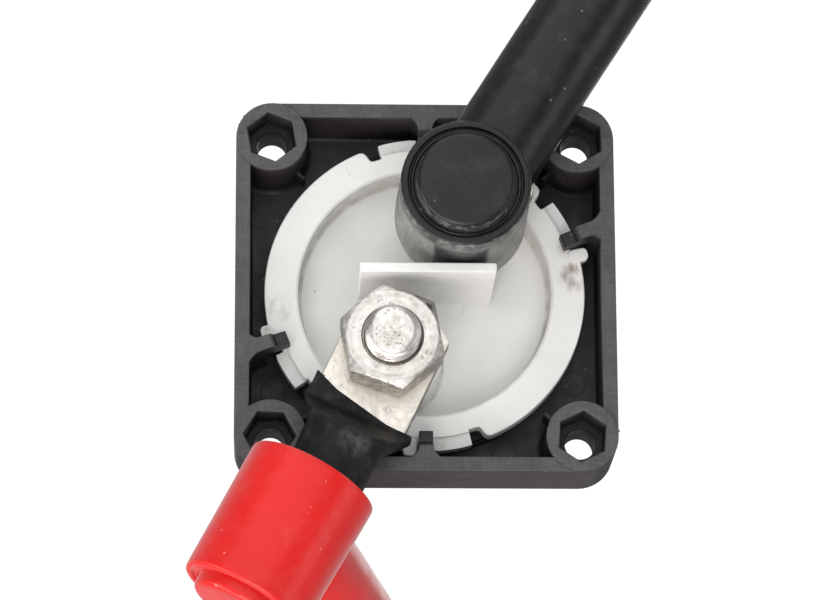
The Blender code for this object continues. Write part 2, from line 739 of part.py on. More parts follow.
def make_knob(parent, material):
    skirt = [
        (0, KNOB_BACK_Z),
        (KNOB_RADIUS, KNOB_BACK_Z),
        (KNOB_RADIUS - 0.6 * MM, KNOB_FACE_Z + 2 * MM),
        (KNOB_RADIUS - 2.4 * MM, KNOB_FACE_Z),
        (0, KNOB_FACE_Z),
    ]
    knob = put("knob", turned(bmesh.new(), skirt, ROUND), material, parent)
    grip = rounded_rectangle(GRIP_HALF_LENGTH, GRIP_HALF_WIDTH, 5 * MM, 5)
    join(knob, "knob_grip", prism(bmesh.new(), grip, GRIP_FACE_Z, KNOB_FACE_Z + MM))
    underside = cylinder(KNOB_RADIUS - 0.6 * MM - KNOB_WALL, KNOB_FACE_Z + KNOB_WALL, KNOB_BACK_Z + MM)
    cut(knob, "knob_underside", underside)
    hub_face = TURRET_FRONT_Z - 2.6 * MM
    join(knob, "knob_hub", cylinder(KNOB_HUB_RADIUS, KNOB_FACE_Z + MM, hub_face, 32))
    half = SPINDLE_SQUARE / 2 + GAP
    socket = rounded_rectangle(half, half, 0.8 * MM, 2)
    cut(knob, "knob_socket", prism(bmesh.new(), socket, SPINDLE_END_Z - GAP, hub_face + MM))
    cut(knob, "screw_clearance", cylinder(2.3 * MM, GRIP_FACE_Z, SPINDLE_END_Z, SMALL_ROUND))
    cut(knob, "screw_well", cylinder(SCREW_WELL_RADIUS, GRIP_FACE_Z - MM, SPINDLE_END_Z - 3 * MM, SMALL_ROUND))
    return knob


def make_knob_screw(parent, material):
    seat = SPINDLE_END_Z - 3 * MM - GAP
    profile = [
        (0, seat + SCREW_LENGTH),
        (SCREW_RADIUS, seat + SCREW_LENGTH),
        (SCREW_RADIUS, seat),
        (SCREW_HEAD_RADIUS, seat),
        (SCREW_HEAD_RADIUS, seat - SCREW_HEAD_THICK + 0.8 * MM),
        (SCREW_HEAD_RADIUS - 0.8 * MM, seat - SCREW_HEAD_THICK),
        (0, seat - SCREW_HEAD_THICK),
    ]
    return put("knob_screw", turned(bmesh.new(), profile, SMALL_ROUND), material, parent)


def make_knob_cap(parent, material):
    plug = cylinder(CAP_RADIUS, GRIP_FACE_Z, GRIP_FACE_Z + CAP_THICK, SMALL_ROUND)
    return put("knob_cap", plug, material, parent)


# ---------------------------------------------------------------- assembly

def main():
    clear_scene()
    black = finish("housing_black", (0.028, 0.028, 0.03), 0.5)
    white = finish("base_white", (0.78, 0.78, 0.75), 0.45)
    tinned = finish("tinned_copper", (0.72, 0.7, 0.66), 0.32, 1.0)
    copper = finish("bare_copper", (0.72, 0.38, 0.25), 0.35, 1.0)
    steel = finish("spring_steel", (0.5, 0.5, 0.5), 0.3, 1.0)
    red_rubber = finish("red_boot_rubber", (0.72, 0.03, 0.03), 0.35)
    black_rubber = finish("black_boot_rubber", (0.05, 0.05, 0.05), 0.5)
    shrink = finish("shrink_black", (0.02, 0.02, 0.02), 0.6)
    seal = finish("seal_rubber", (0.03, 0.03, 0.03), 0.7)
    red = finish("knob_red", (0.6, 0.02, 0.02), 0.4)
    grey = finish("rotor_grey", (0.3, 0.3, 0.31), 0.5)
    dial = finish("dial_white", (0.75, 0.75, 0.74), 0.5)

    bench = empty("bench", turn=(math.radians(90), 0, math.radians(180)))
    turning = empty("knob_axis", bench, turn=(0, 0, math.radians(contact_angle() - KNOB_STROKE)))

    make_housing(bench, black)
    make_contact_base(bench, white)
    make_gasket(bench, seal)
    make_dial_ring(bench, dial)
    lower, upper = studs()
    for label, centre, angle, neck, over_palm in (
        ("positive", lower, LOWER_LUG_ANGLE, POSITIVE_NECK, True),
        ("negative", upper, UPPER_LUG_ANGLE, NEGATIVE_NECK, False),
    ):
        make_stud(label + "_stud", centre, bench, tinned)
        make_nut(label + "_nut", centre, bench, tinned)
        make_lug(label + "_cable_lug", centre, angle, neck, bench, tinned)
        make_shrink(label + "_heat_shrink", centre, angle, neck, bench, shrink, over_palm)
    black_frame = boot_frame(
        "black_boot_place", bench, BLACK_BOOT_PLACE, (0, 0, 1), (*polar(1, UPPER_LUG_ANGLE), 0)
    )
    red_frame = boot_frame("red_boot_place", bench, RED_BOOT_PLACE, RED_BOOT_AXIS, RED_SLEEVE_AXIS)
    cut_lug_room(make_boot("black_boot", BLACK_HOOD_H, black_frame, black_rubber))
    make_boot("red_boot", RED_HOOD_H, red_frame, red_rubber)

    make_bridge(turning, copper)
    make_contact_spring(turning, steel)
    make_rotor(turning, grey)
    make_detents(turning, steel)
    make_o_ring(turning, seal)
    knob_frame = empty("knob_place", bench)
    make_knob(knob_frame, red)
    make_knob_screw(knob_frame, steel)
    make_knob_cap(knob_frame, red)


main()
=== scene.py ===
# %% [markdown]
# # A square battery switch, looked at from its terminal side
# The switch cuts a boat's battery off. A black moulding holds a white base with two threaded
# terminals, and a knob at the front turns a copper bridge that joins them. One terminal is
# open, and the other wears a soft black boot. The first cell loads the fixed frame: most
# pieces made below take the place of one imported solid.

# %% Load the frame
import math
import random

import bmesh
import bpy
from mathutils import Matrix, Vector, noise


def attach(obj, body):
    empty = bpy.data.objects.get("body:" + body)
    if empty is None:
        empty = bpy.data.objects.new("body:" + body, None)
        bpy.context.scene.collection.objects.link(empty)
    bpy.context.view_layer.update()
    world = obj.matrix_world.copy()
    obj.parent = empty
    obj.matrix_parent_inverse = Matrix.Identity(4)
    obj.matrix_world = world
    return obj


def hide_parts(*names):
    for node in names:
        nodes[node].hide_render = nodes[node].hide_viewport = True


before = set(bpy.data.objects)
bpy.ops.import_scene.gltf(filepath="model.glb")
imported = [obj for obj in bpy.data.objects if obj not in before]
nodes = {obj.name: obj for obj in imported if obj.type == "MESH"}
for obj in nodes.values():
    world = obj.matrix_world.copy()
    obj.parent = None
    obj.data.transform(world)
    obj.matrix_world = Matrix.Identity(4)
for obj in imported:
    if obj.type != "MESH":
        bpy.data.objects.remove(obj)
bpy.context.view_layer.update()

scene = bpy.context.scene

# %% [markdown]
# ## A bench to model on
# Mouldings are easiest to draw flat on a bench, in millimetres, with z towards the reader.
# The switch itself stands upright in its panel, so one matrix carries every finished piece
# from the bench to its place: bench z becomes the way out of the open back.

# %% Bench, sizes and the matrix that places a finished piece
BENCH_TO_PANEL = Matrix((
    (-0.001, 0, 0, 0),
    (0, 0, 0.001, 0),
    (0, 0.001, 0, 0),
    (0, 0, 0, 1),
))
HOUSING_HALF = 34.5
HOUSING_CORNER = 6.5
INNER_HALF = 31.8
FLOOR = -12.0
FLANGE_FRONT = -14.2
RING_TOP = -5.0
RING_BOTTOM = -8.0
HOOK_ANGLES = (20, 90, 200.5, 270)
BOSS_AT = 28.0
STUDS = {"positive": (-6.4, -12.6), "negative": (6.4, 12.6)}
CORNERS = [(sx * BOSS_AT, sy * BOSS_AT) for sx in (-1, 1) for sy in (-1, 1)]


def on_panel(x, y, z):
    return BENCH_TO_PANEL @ Vector((x, y, z))


def direction_on_panel(vector):
    return (BENCH_TO_PANEL.to_3x3() @ Vector(vector)).normalized()


print("the rim's corner lies at", [round(c, 4) for c in on_panel(HOUSING_HALF, HOUSING_HALF, 0)])

# %% [markdown]
# ## Shapes by rings
# A moulded or turned piece can be told as a stack of rings: a circle for a boss, a rounded
# square for the housing, an oval for a lug's neck. Two rings close together give an edge its
# small radius, which catches the light. `bridge_loops` skins the stack, so no face is listed.

# %% Rings and skins
def polar(radius, degrees):
    angle = math.radians(degrees)
    return radius * math.cos(angle), radius * math.sin(angle)


def circle(radius, centre=(0, 0), steps=96, turn=0):
    points = (polar(radius, turn + 360 * i / steps) for i in range(steps))
    return [(centre[0] + x, centre[1] + y) for x, y in points]


def rounded_box(half_x, half_y, radius, steps=10):
    outline = []
    for quarter, (sx, sy) in enumerate(((1, 1), (-1, 1), (-1, -1), (1, -1))):
        for i in range(steps + 1):
            x, y = polar(radius, 90 * (quarter + i / steps))
            outline.append((sx * (half_x - radius) + x, sy * (half_y - radius) + y))
    return outline


def hexagon(flats, turn, centre=(0, 0)):
    return circle(flats / 2 / math.cos(math.radians(30)), centre, 6, turn)


def at_height(outline, z):
    return [(x, y, z) for x, y in outline]


def raised(profile, height):
    return [(r, height + z) for r, z in profile]


def skin(rings, closed=True):
    """A solid through rings of equal count, capped at both ends."""
    bm = bmesh.new()
    loops = []
    for ring in rings:
        verts = [bm.verts.new(point) for point in ring]
        loops.append([bm.edges.new((a, b)) for a, b in zip(verts, verts[1:] + verts[:1])])
    for lower, upper in zip(loops, loops[1:]):
        bmesh.ops.bridge_loops(bm, edges=lower + upper)
    if closed:
        for loop in (loops[0], loops[-1]):
            bmesh.ops.contextual_create(bm, geom=loop)
    bmesh.ops.recalc_face_normals(bm, faces=bm.faces)
    return bm


def tube(outer, inner):
    """A wall between outer rings and inner rings, joined at its two ends."""
    bm = skin(outer + inner[::-1], closed=False)
    ends = [edge for edge in bm.edges if edge.is_boundary]
    bmesh.ops.bridge_loops(bm, edges=ends)
    bmesh.ops.recalc_face_normals(bm, faces=bm.faces)
    return bm


def stack(outline_of, steps):
    """A solid whose outline grows or shrinks: steps are (height, growth) pairs."""
    return skin([at_height(outline_of(growth), z) for z, growth in steps])


def post(radius, steps, centre=(0, 0), count=96):
    """A stack of circles."""
    return stack(lambda growth: circle(radius + growth, centre, count), steps)


def block(half_x, half_y, corner, steps, shift=(0, 0), count=10):
    """A stack of rounded boxes."""
    return stack(lambda growth: [
        (x + shift[0], y + shift[1])
        for x, y in rounded_box(half_x + growth, half_y + growth, corner + growth, count)
    ], steps)


def plate(outline, low, high):
    return skin([at_height(outline, low), at_height(outline, high)])


def turned(profile, steps=128, centre=(0, 0)):
    """Spins a profile of (radius, height) points once round an upright axis."""
    bm = bmesh.new()
    verts = [bm.verts.new((centre[0] + r, centre[1], z)) for r, z in profile]
    pairs = list(zip(verts, verts[1:]))
    if profile[0][0] > 0:
        pairs.append((verts[-1], verts[0]))
    edges = [bm.edges.new(pair) for pair in pairs]
    bmesh.ops.spin(bm, geom=verts + edges, axis=(0, 0, 1), cent=(*centre, 0),
                   angle=2 * math.pi, steps=steps, use_merge=True)
    bmesh.ops.remove_doubles(bm, verts=bm.verts, dist=1e-4)
    bmesh.ops.recalc_face_normals(bm, faces=bm.faces)
    return bm


print("a test boss has", len(post(6.5, [(0, 0), (1, 0)]).faces), "faces")

# %% Joining, cutting and settling a piece on its body
def move(bm, matrix):
    bmesh.ops.transform(bm, matrix=matrix, verts=bm.verts)
    return bm


def swing(bm, degrees, centre=(0, 0)):
    """Turns a shape about the bench's upright axis, then carries it to a centre."""
    turn = Matrix.Rotation(math.radians(degrees), 4, "Z")
    return move(bm, Matrix.Translation((*centre, 0)) @ turn)


def drop(edge):
    return abs(edge.verts[0].co.z - edge.verts[1].co.z)


def soften(bm, edges, size, segments, clamp=False):
    """Rounds edges off."""
    bmesh.ops.bevel(bm, geom=edges, offset=size, offset_type="OFFSET", segments=segments,
                    profile=0.5, affect="EDGES", material=-1, clamp_overlap=clamp)


def together(shapes):
    """Puts separate shapes into one bmesh."""
    bm = bmesh.new()
    for shape in shapes:
        mesh = bpy.data.meshes.new("copy")
        shape.to_mesh(mesh)
        shape.free()
        bm.from_mesh(mesh)
        bpy.data.meshes.remove(mesh)
    return bm


def carve(bm, tool, operation="DIFFERENCE", solver="EXACT"):
    """Cuts, joins or intersects two closed shapes, and gives the result as a new bmesh."""
    pair = []
    for shape in (bm, tool):
        mesh = bpy.data.meshes.new("carving")
        shape.to_mesh(mesh)
        shape.free()
        obj = bpy.data.objects.new("carving", mesh)
        scene.collection.objects.link(obj)
        pair.append(obj)
    boolean = pair[0].modifiers.new("carving", "BOOLEAN")
    boolean.operation = operation
    boolean.solver = solver
    boolean.object = pair[1]
    graph = bpy.context.evaluated_depsgraph_get()
    result = bmesh.new()
    result.from_mesh(pair[0].evaluated_get(graph).to_mesh())
    for obj in pair:
        mesh = obj.data
        bpy.data.objects.remove(obj)
        bpy.data.meshes.remove(mesh)
    bmesh.ops.remove_doubles(result, verts=result.verts, dist=1e-4)
    return result


def join(bm, tool):
    return carve(bm, tool, "UNION")


def settle(name, bm, material, replaced=None, sharp=32, body="switch_body", weighted=True):
    """Carries a finished bench shape to the panel and hangs it on its body."""
    open_edges = sum(not edge.is_manifold for edge in bm.edges)
    move(bm, BENCH_TO_PANEL)
    mesh = bpy.data.meshes.new(name)
    bm.to_mesh(mesh)
    bm.free()
    mesh.shade_smooth()
    mesh.set_sharp_from_angle(angle=math.radians(sharp))
    mesh.materials.append(material)
    obj = bpy.data.objects.new(name, mesh)
    scene.collection.objects.link(obj)
    if weighted:
        normals = obj.modifiers.new("even_shading", "WEIGHTED_NORMAL")
        normals.keep_sharp = True
    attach(obj, body)
    if replaced:
        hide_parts(replaced)
    mesh.calc_loop_triangles()
    print(f"{name}: {len(mesh.loop_triangles)} triangles, {open_edges} open edges")


# %% [markdown]
# ## Camera and light
# The object is looked at from its open back and a little below, through a long lens, which
# keeps the square square. The room is a white tent. Its near wall, behind the camera, lights
# the white base evenly and is what the metal mirrors. A panel above makes the top edges
# brighter, and a faint warm bounce comes from below.

# %% Camera
LENS = 171.43
DISTANCE = 723.7
TILT = math.radians(15.83)
YAW = math.radians(-2.26)
ROLL = math.radians(-0.27)
OFF_AXIS = (1.06, 2.68)

back = Vector((math.sin(YAW) * math.cos(TILT), -math.sin(TILT), math.cos(YAW) * math.cos(TILT)))
level = Vector((math.cos(YAW), 0, -math.sin(YAW)))
rise = back.cross(level)
right = level * math.cos(ROLL) + rise * math.sin(ROLL)
up = rise * math.cos(ROLL) - level * math.sin(ROLL)
eye = back * DISTANCE - right * OFF_AXIS[0] - up * OFF_AXIS[1]
axes = Matrix([direction_on_panel(v) for v in (right, up, back)]).transposed()
camera = bpy.data.objects.new("camera", bpy.data.cameras.new("camera"))
camera.data.lens = LENS
camera.data.sensor_width = 36
camera.data.clip_end = 20
camera.matrix_world = Matrix.Translation(on_panel(*eye)) @ axes.to_4x4()
scene.collection.objects.link(camera)
scene.camera = camera
scene.view_settings.view_transform = "Standard"
print("camera at", [round(c, 3) for c in camera.location])

# %% Tent, panel of light and floor
def soft_panel(name, spot, size, watts, colour=(1, 1, 1)):
    light = bpy.data.lights.new(name, "AREA")
    light.shape = "RECTANGLE"
    light.size, light.size_y = size
    light.energy = watts
    light.color = colour
    lamp = bpy.data.objects.new(name, light)
    lamp.location = spot
    lamp.rotation_euler = (-Vector(spot)).to_track_quat("-Z", "Y").to_euler()
    scene.collection.objects.link(lamp)


soft_panel("near_wall", (0.1, 1.65, 0.35), (2.6, 2.0), 16)
soft_panel("low_wall", (0.1, 1.2, -1.0), (1.6, 0.8), 7)
soft_panel("top_panel", (0.15, 0.55, 0.95), (1.0, 0.7), 3.4)
soft_panel("left_strip", (0.9, 0.25, -0.35), (0.5, 0.8), 5.0)
soft_panel("right_strip", (-0.9, 0.25, -0.1), (0.4, 1.0), 1.6)
soft_panel("warm_bounce", (0.3, 0.25, -0.7), (0.8, 0.5), 4.8, (1.0, 0.91, 0.91))
soft_panel("front_fill", (-0.3, -0.9, 0.5), (0.9, 0.7), 2.5)

tent = bpy.data.worlds.new("tent")
scene.world = tent
tent.use_nodes = True
sky = tent.node_tree
glow = sky.nodes["Background"]
seen = sky.nodes.new("ShaderNodeBackground")
for light, strength in ((glow, 0.3), (seen, 1.05)):
    light.inputs["Color"].default_value = (1, 1, 1, 1)
    light.inputs["Strength"].default_value = strength
choose = sky.nodes.new("ShaderNodeMixShader")
rays = sky.nodes.new("ShaderNodeLightPath")
sky.links.new(rays.outputs["Is Camera Ray"], choose.inputs[0])
sky.links.new(glow.outputs[0], choose.inputs[1])
sky.links.new(seen.outputs[0], choose.inputs[2])
sky.links.new(choose.outputs[0], sky.nodes["World Output"].inputs["Surface"])

GROUND = -1.4
floor_mesh = bpy.data.meshes.new("floor")
floor_bm = bmesh.new()
bmesh.ops.create_grid(floor_bm, x_segments=1, y_segments=1, size=6)
bmesh.ops.translate(floor_bm, verts=floor_bm.verts, vec=(0, 0, GROUND))
floor_bm.to_mesh(floor_mesh)
floor_bm.free()
floor_paint = bpy.data.materials.new("floor_paint")
floor_paint.use_nodes = True
paint = floor_paint.node_tree.nodes["Principled BSDF"].inputs
paint["Base Color"].default_value = (0.86, 0.86, 0.86, 1)
paint["Roughness"].default_value = 0.6
floor_mesh.materials.append(floor_paint)
floor = bpy.data.objects.new("floor", floor_mesh)
scene.collection.objects.link(floor)

# %% [markdown]
# ## Finishes
# Each finish is a Principled shader fed by noise in millimetres of the object's own space,
# so a grain keeps its true size. Three things make plastic and metal look used: the colour
# drifts a little over centimetres, the gloss changes with handling, and a fine relief breaks
# up the reflections. One finish is open at a time, and `tree` is its node tree.

# %% Small tools for finishes
MM = 0.001
tree = None


def add_node(kind, inputs=None, **settings):
    node = tree.nodes.new("ShaderNode" + kind)
    for name, value in settings.items():
        setattr(node, name, value)
    for name, value in (inputs or {}).items():
        if isinstance(value, bpy.types.NodeSocket):
            tree.links.new(value, node.inputs[name])
        else:
            node.inputs[name].default_value = value
    return node


def here():
    """The point's place on the object, as a socket."""
    return add_node("TexCoord").outputs["Object"]


def grain(size, detail=3.0, stretch=(1, 1, 1), sharpness=0.5):
    """Noise with features about size millimetres across, from 0 to 1."""
    scale = [1000 / size / s for s in stretch]
    mapped = add_node("Mapping", {"Vector": here(), "Scale": scale}).outputs[0]
    inputs = {"Vector": mapped, "Scale": 1.0, "Detail": detail, "Roughness": sharpness}
    return add_node("TexNoise", inputs).outputs["Fac"]


def specks(size, share):
    """Small round spots, size millimetres apart, that cover about a share of the surface."""
    inputs = {"Vector": here(), "Scale": 1000 / size, "Randomness": 1.0}
    far = add_node("TexVoronoi", inputs).outputs["Distance"]
    return window(far, share + 0.05, share)


def window(value, low, high, to_low=0.0, to_high=1.0):
    inputs = {0: value, 1: low, 2: high, 3: to_low, 4: to_high}
    return add_node("MapRange", inputs).outputs[0]


def both(first, second, operation="MULTIPLY"):
    return add_node("Math", {0: first, 1: second}, operation=operation).outputs[0]


def blend(factor, first, second):
    """Mixes two colours, each a colour or a socket."""
    return add_node("Mix", {0: factor, 6: first, 7: second}, data_type="RGBA").outputs[2]


def vector_sum(operation, first, second, output=0):
    return add_node("VectorMath", {0: first, 1: second}, operation=operation).outputs[output]


def within(length, middle, half, soft):
    """1 where a length lies within half of the middle, fading over soft, in millimetres."""
    off = both(both(length, middle * MM, "SUBTRACT"), 0.0, "ABSOLUTE")
    return window(off, (half + soft) * MM, half * MM)


def near(point, radius):
    """1 at a bench point, fading to 0 at radius millimetres."""
    return window(vector_sum("DISTANCE", here(), on_panel(*point), "Value"), radius * MM, 0.0)


def facing(axis, low, high):
    """0 to 1 as the surface turns towards an axis of the panel: X, Y or Z."""
    normal = add_node("NewGeometry").outputs["Normal"]
    return window(add_node("SeparateXYZ", {0: normal}).outputs[axis], low, high)


def band(axis, middle, half, soft):
    """1 where the panel coordinate lies within half of the middle, in millimetres."""
    return within(add_node("SeparateXYZ", {0: here()}).outputs[axis], middle, half, soft)


def from_axis(centre):
    """Distance in metres from the upright bench axis through a centre."""
    flat = vector_sum("MULTIPLY", here(), (1, 0, 1))
    return vector_sum("DISTANCE", flat, on_panel(*centre, 0), "Value")


def ring_band(centre, radius, half, soft):
    """1 on a ring about a centre, fading out over soft millimetres."""
    return within(from_axis(centre), radius, half, soft)


def across(centre, degrees):
    """Distance in metres to either side of the bench line through a centre at an angle."""
    local = vector_sum("SUBTRACT", here(), on_panel(*centre, 0))
    side = direction_on_panel((*polar(1, degrees + 90), 0))
    return both(vector_sum("DOT_PRODUCT", local, side, "Value"), 0.0, "ABSOLUTE")


def start_finish(name, roughness, metallic=0.0, **sockets):
    """Opens a new material, so that the tools above add to its tree."""
    global tree
    material = bpy.data.materials.new(name)
    material.use_nodes = True
    tree = material.node_tree
    shader = tree.nodes["Principled BSDF"]
    shader.inputs["Roughness"].default_value = roughness
    shader.inputs["Metallic"].default_value = metallic
    for socket, value in sockets.items():
        shader.inputs[socket.replace("_", " ")].default_value = value
    return material, shader


def dress(shader, colour, gloss, layers):
    """Links colour and gloss, then stacks bump layers of (height, depth in millimetres)."""
    tree.links.new(colour, shader.inputs["Base Color"])
    tree.links.new(gloss, shader.inputs["Roughness"])
    normal = None
    for height, depth in layers:
        inputs = {"Height": height, "Strength": 1.0, "Distance": depth * MM}
        if normal:
            inputs["Normal"] = normal
        normal = add_node("Bump", inputs).outputs[0]
    tree.links.new(normal, shader.inputs["Normal"])


def rgb(value):
    """A colour written as six hex digits, as the linear colour that a shader takes."""
    parts = [int(value[i:i + 2], 16) / 255 for i in (0, 2, 4)]
    return [((c + 0.055) / 1.055) ** 2.4 if c > 0.04 else c / 12.92 for c in parts] + [1]


print("housing black in linear light:", [round(c, 3) for c in rgb("3a3a3d")])

# %% [markdown]
# ### Glass-filled black plastic
# The housing is moulded in nylon with glass fibre. The fibres leave a fine drawn grain on
# every face. Inside the tray the colour is painted darker, as painted shade, and faces that
# turn downwards get a pinkish painted shade.

# %% Housing plastic
def moulded_black(name, dark, light, roughness=0.5, inside=None):
    """Fibre-filled plastic. Given an inside colour, the tray's inside is painted darker and downward faces
    get a pinkish darker tone, both painted shade.
    """
    material, shader = start_finish(name, roughness)
    cloud = window(grain(7, 4), 0.35, 0.7)
    drawn = grain(0.5, 3, (1, 1, 7))
    crossed = grain(0.5, 3, (7, 1, 1))
    fibres = window(both(drawn, crossed, "MAXIMUM"), 0.45, 0.8)
    colour = blend(cloud, rgb(dark), rgb(light))
    colour = blend(both(fibres, 0.35), colour, rgb("6c6a69"))
    if inside:
        # painted shade: the walls and floor inside the tray take the darker inside colour
        deep = band("Y", -7.2, 6.1, 0.9)
        tray = both(band("X", 0, 33.7, 0.5), band("Z", 0, 33.7, 0.5))
        painted_inside_shade = blend(both(fibres, 0.3), rgb(inside), rgb("333336"))
        colour = blend(both(deep, tray), colour, painted_inside_shade)
        # painted shade with a pink cast, standing in for light bounced from below, on faces that turn
        # downwards
        downward_painted_shade = both(facing("Z", -0.75, -0.97), 0.7)
        colour = blend(downward_painted_shade, colour, rgb("2d2628"))
    dust = both(specks(1.7, 0.07), window(grain(5, 2), 0.5, 0.62))
    colour = blend(both(dust, 0.5), colour, rgb("8d8b88"))
    gloss = window(grain(3, 3), 0.3, 0.7, roughness - 0.08, roughness + 0.12)
    dress(shader, colour, gloss, [(fibres, 0.012), (grain(0.22, 2), 0.012), (grain(4, 2), 0.05)])
    return material


# the inside colour is painted shade for the tray's hollow
housing_black = moulded_black("housing_black", "3a3a3d", "47474a", inside="1b1b1d")
print(len(housing_black.node_tree.nodes), "nodes in the housing plastic")

# %% [markdown]
# ### White base plastic
# The base is a heat-proof polyester. It is off-white, slightly blotchy, and greasy dirt has
# collected at a few spots of the ring. Thin darker lines of painted shade run round the foot
# and top edge of the dish's step and round the foot of each stud's collar.

# %% Base plastic
def moulded_white(name, pale, shade, dirt_spots=(), painted_shade_rings=()):
    material, shader = start_finish(name, 0.42)
    cloud = window(grain(9, 4), 0.3, 0.7)
    colour = blend(cloud, rgb(pale), rgb(shade))
    for point, radius, depth in dirt_spots:
        close = window(near(point, radius), 0.0, 0.55)
        patches = window(grain(1.5, 5, (1, 1, 1.8), 0.62), 0.38, 0.72)
        mask = both(close, patches)
        colour = blend(both(mask, depth), colour, rgb("6e5238"))
    # painted shade: darker greenish lines at the foot and top edge of the dish's step and at the foot of
    # each stud's collar
    for centre, radius, half, soft, depth in painted_shade_rings:
        uneven = window(grain(2.5, 4), 0.3, 0.6, 0.35, 1.0)
        mask = both(ring_band(centre, radius, half, soft), uneven)
        colour = blend(both(mask, depth), colour, rgb("8d897a"))
    flecks = both(specks(2.4, 0.05), window(grain(8, 2), 0.55, 0.65))
    colour = blend(both(flecks, 0.6), colour, rgb("75695c"))
    gloss = window(grain(2, 3), 0.3, 0.7, 0.34, 0.52)
    dress(shader, colour, gloss, [(grain(0.35, 2), 0.006), (grain(5, 2), 0.03)])
    return material


base_white = moulded_white("base_white", "ebebe9", "e2e2df", (
    ((27.2, 3.2, RING_TOP), 3.3, 0.85),
    ((26.9, 4.9, RING_TOP), 1.8, 0.7),
    ((-26.8, -3.2, RING_TOP), 3.2, 0.4),
    ((-28.6, -7.6, RING_TOP), 1.8, 0.6),
    ((26.0, 8.6, RING_TOP), 2.0, 0.3),
    ((2.5, -28.8, RING_TOP), 2.2, 0.5),
), (
    # rings of painted shade: the dish's step, its top edge, and the feet of the two stud collars
    ((0, 0), 22.75, 0.2, 0.3, 0.55),
    ((0, 0), 23.35, 0.05, 0.12, 0.45),
    ((-6.4, -12.6), 9.75, 0.12, 0.35, 0.5),
    ((6.4, 12.6), 9.75, 0.12, 0.35, 0.5),
))
print(len(base_white.node_tree.nodes), "nodes in the base plastic")

# %% [markdown]
# ### Tinned metal
# Studs, nuts and lugs are copper or steel under a thin coat of tin. Tin is soft: it is
# scuffed matt where a spanner has been, pitted where it has oxidised, and bright on rubbed
# edges. A nut's flats and the gap round its bore are painted darker, as painted shade.

# %% Tin and steel
NUT_TURN = 40.5


def tinned(name, bright, dull, pits, rub=0.3, nut_at=None, lug=None):
    """Tin that is dull on a nut's chamfer, with painted shade on its flats and round its bore, or dark
    along the cut edges of a lug.
    """
    material, shader = start_finish(name, rub, metallic=1.0)
    cloud = window(grain(2.2, 5, sharpness=0.65), 0.38, 0.66)
    colour = blend(cloud, rgb(bright), rgb(dull))
    pitted = both(window(grain(0.5, 4, sharpness=0.7), 0.56, 0.66),
                  window(grain(3.5, 2), 0.47, 0.6))
    colour = blend(both(pitted, pits), colour, rgb("6f6862"))
    if nut_at:
        patchy = window(grain(1.4, 6, sharpness=0.75), 0.36, 0.6)
        outer = window(from_axis(nut_at), 0.0077, 0.0084)
        colour = blend(both(both(outer, patchy), 0.75), colour, rgb("8f8a85"))
        # the first ring is painted shade in the gap between the bore and the stud; the second darkens the
        # shallow groove of the face
        for radius, soft, depth in ((5.5, 0.12, 0.75), (7.45, 0.5, 0.16)):
            colour = blend(both(ring_band(nut_at, radius, 0.05, soft), depth), colour, rgb("5d554c"))
        # painted shade: the six flats, and a thin line along their top edge, are painted darker than the
        # face
        flats = [across(nut_at, NUT_TURN + 60 * i) for i in range(3)]
        edge = both(flats[0], both(flats[1], flats[2], "MAXIMUM"), "MAXIMUM")
        colour = blend(both(window(edge, 0.0083, 0.00848), 0.5), colour, rgb("7d7265"))
    if lug:
        edge = window(across(*lug), 0.00882, 0.00905)
        colour = blend(both(edge, 0.8), colour, rgb("5e554b"))
    scuff = window(grain(1.1, 4), 0.3, 0.7, rub - 0.08, rub + 0.2)
    gloss = both(scuff, both(pitted, 0.3), "ADD")
    dress(shader, colour, gloss, [
        (grain(0.35, 4, sharpness=0.6), 0.03), (pitted, -0.05), (grain(2.5, 2), 0.06),
    ])
    return material


tin = tinned("tinned_metal", "eeebe6", "c6c1bb", 0.8)
nut_tin = {label: tinned(f"{label}_nut_tin", "eae7e2", "d4d0ca", 0.6, nut_at=centre)
           for label, centre in STUDS.items()}
LUG_ANGLES = {"positive": 244.6, "negative": 57.9}
lug_tin = {label: tinned(f"{label}_lug_tin", "faf5ec", "f0eae0", 0.1, 0.4, lug=(STUDS[label], angle))
           for label, angle in LUG_ANGLES.items()}
spring_steel = tinned("spring_steel", "b9b9b9", "8f8f8f", 0.3)
bare_copper = tinned("bare_copper", "d99a78", "a8654a", 0.4)
print("metals made for", ", ".join(STUDS), "sides and the inner parts")

# %% [markdown]
# ### Soft covers
# The boots are dipped vinyl, glossy when clean. The red one has a broad soft shine and a
# few specks of lint. The black one is satin, and its hood is greyed by dust, with painted
# highlights along the lid's edges. The shrink sleeve is matt, with a pale patch of painted sheen.

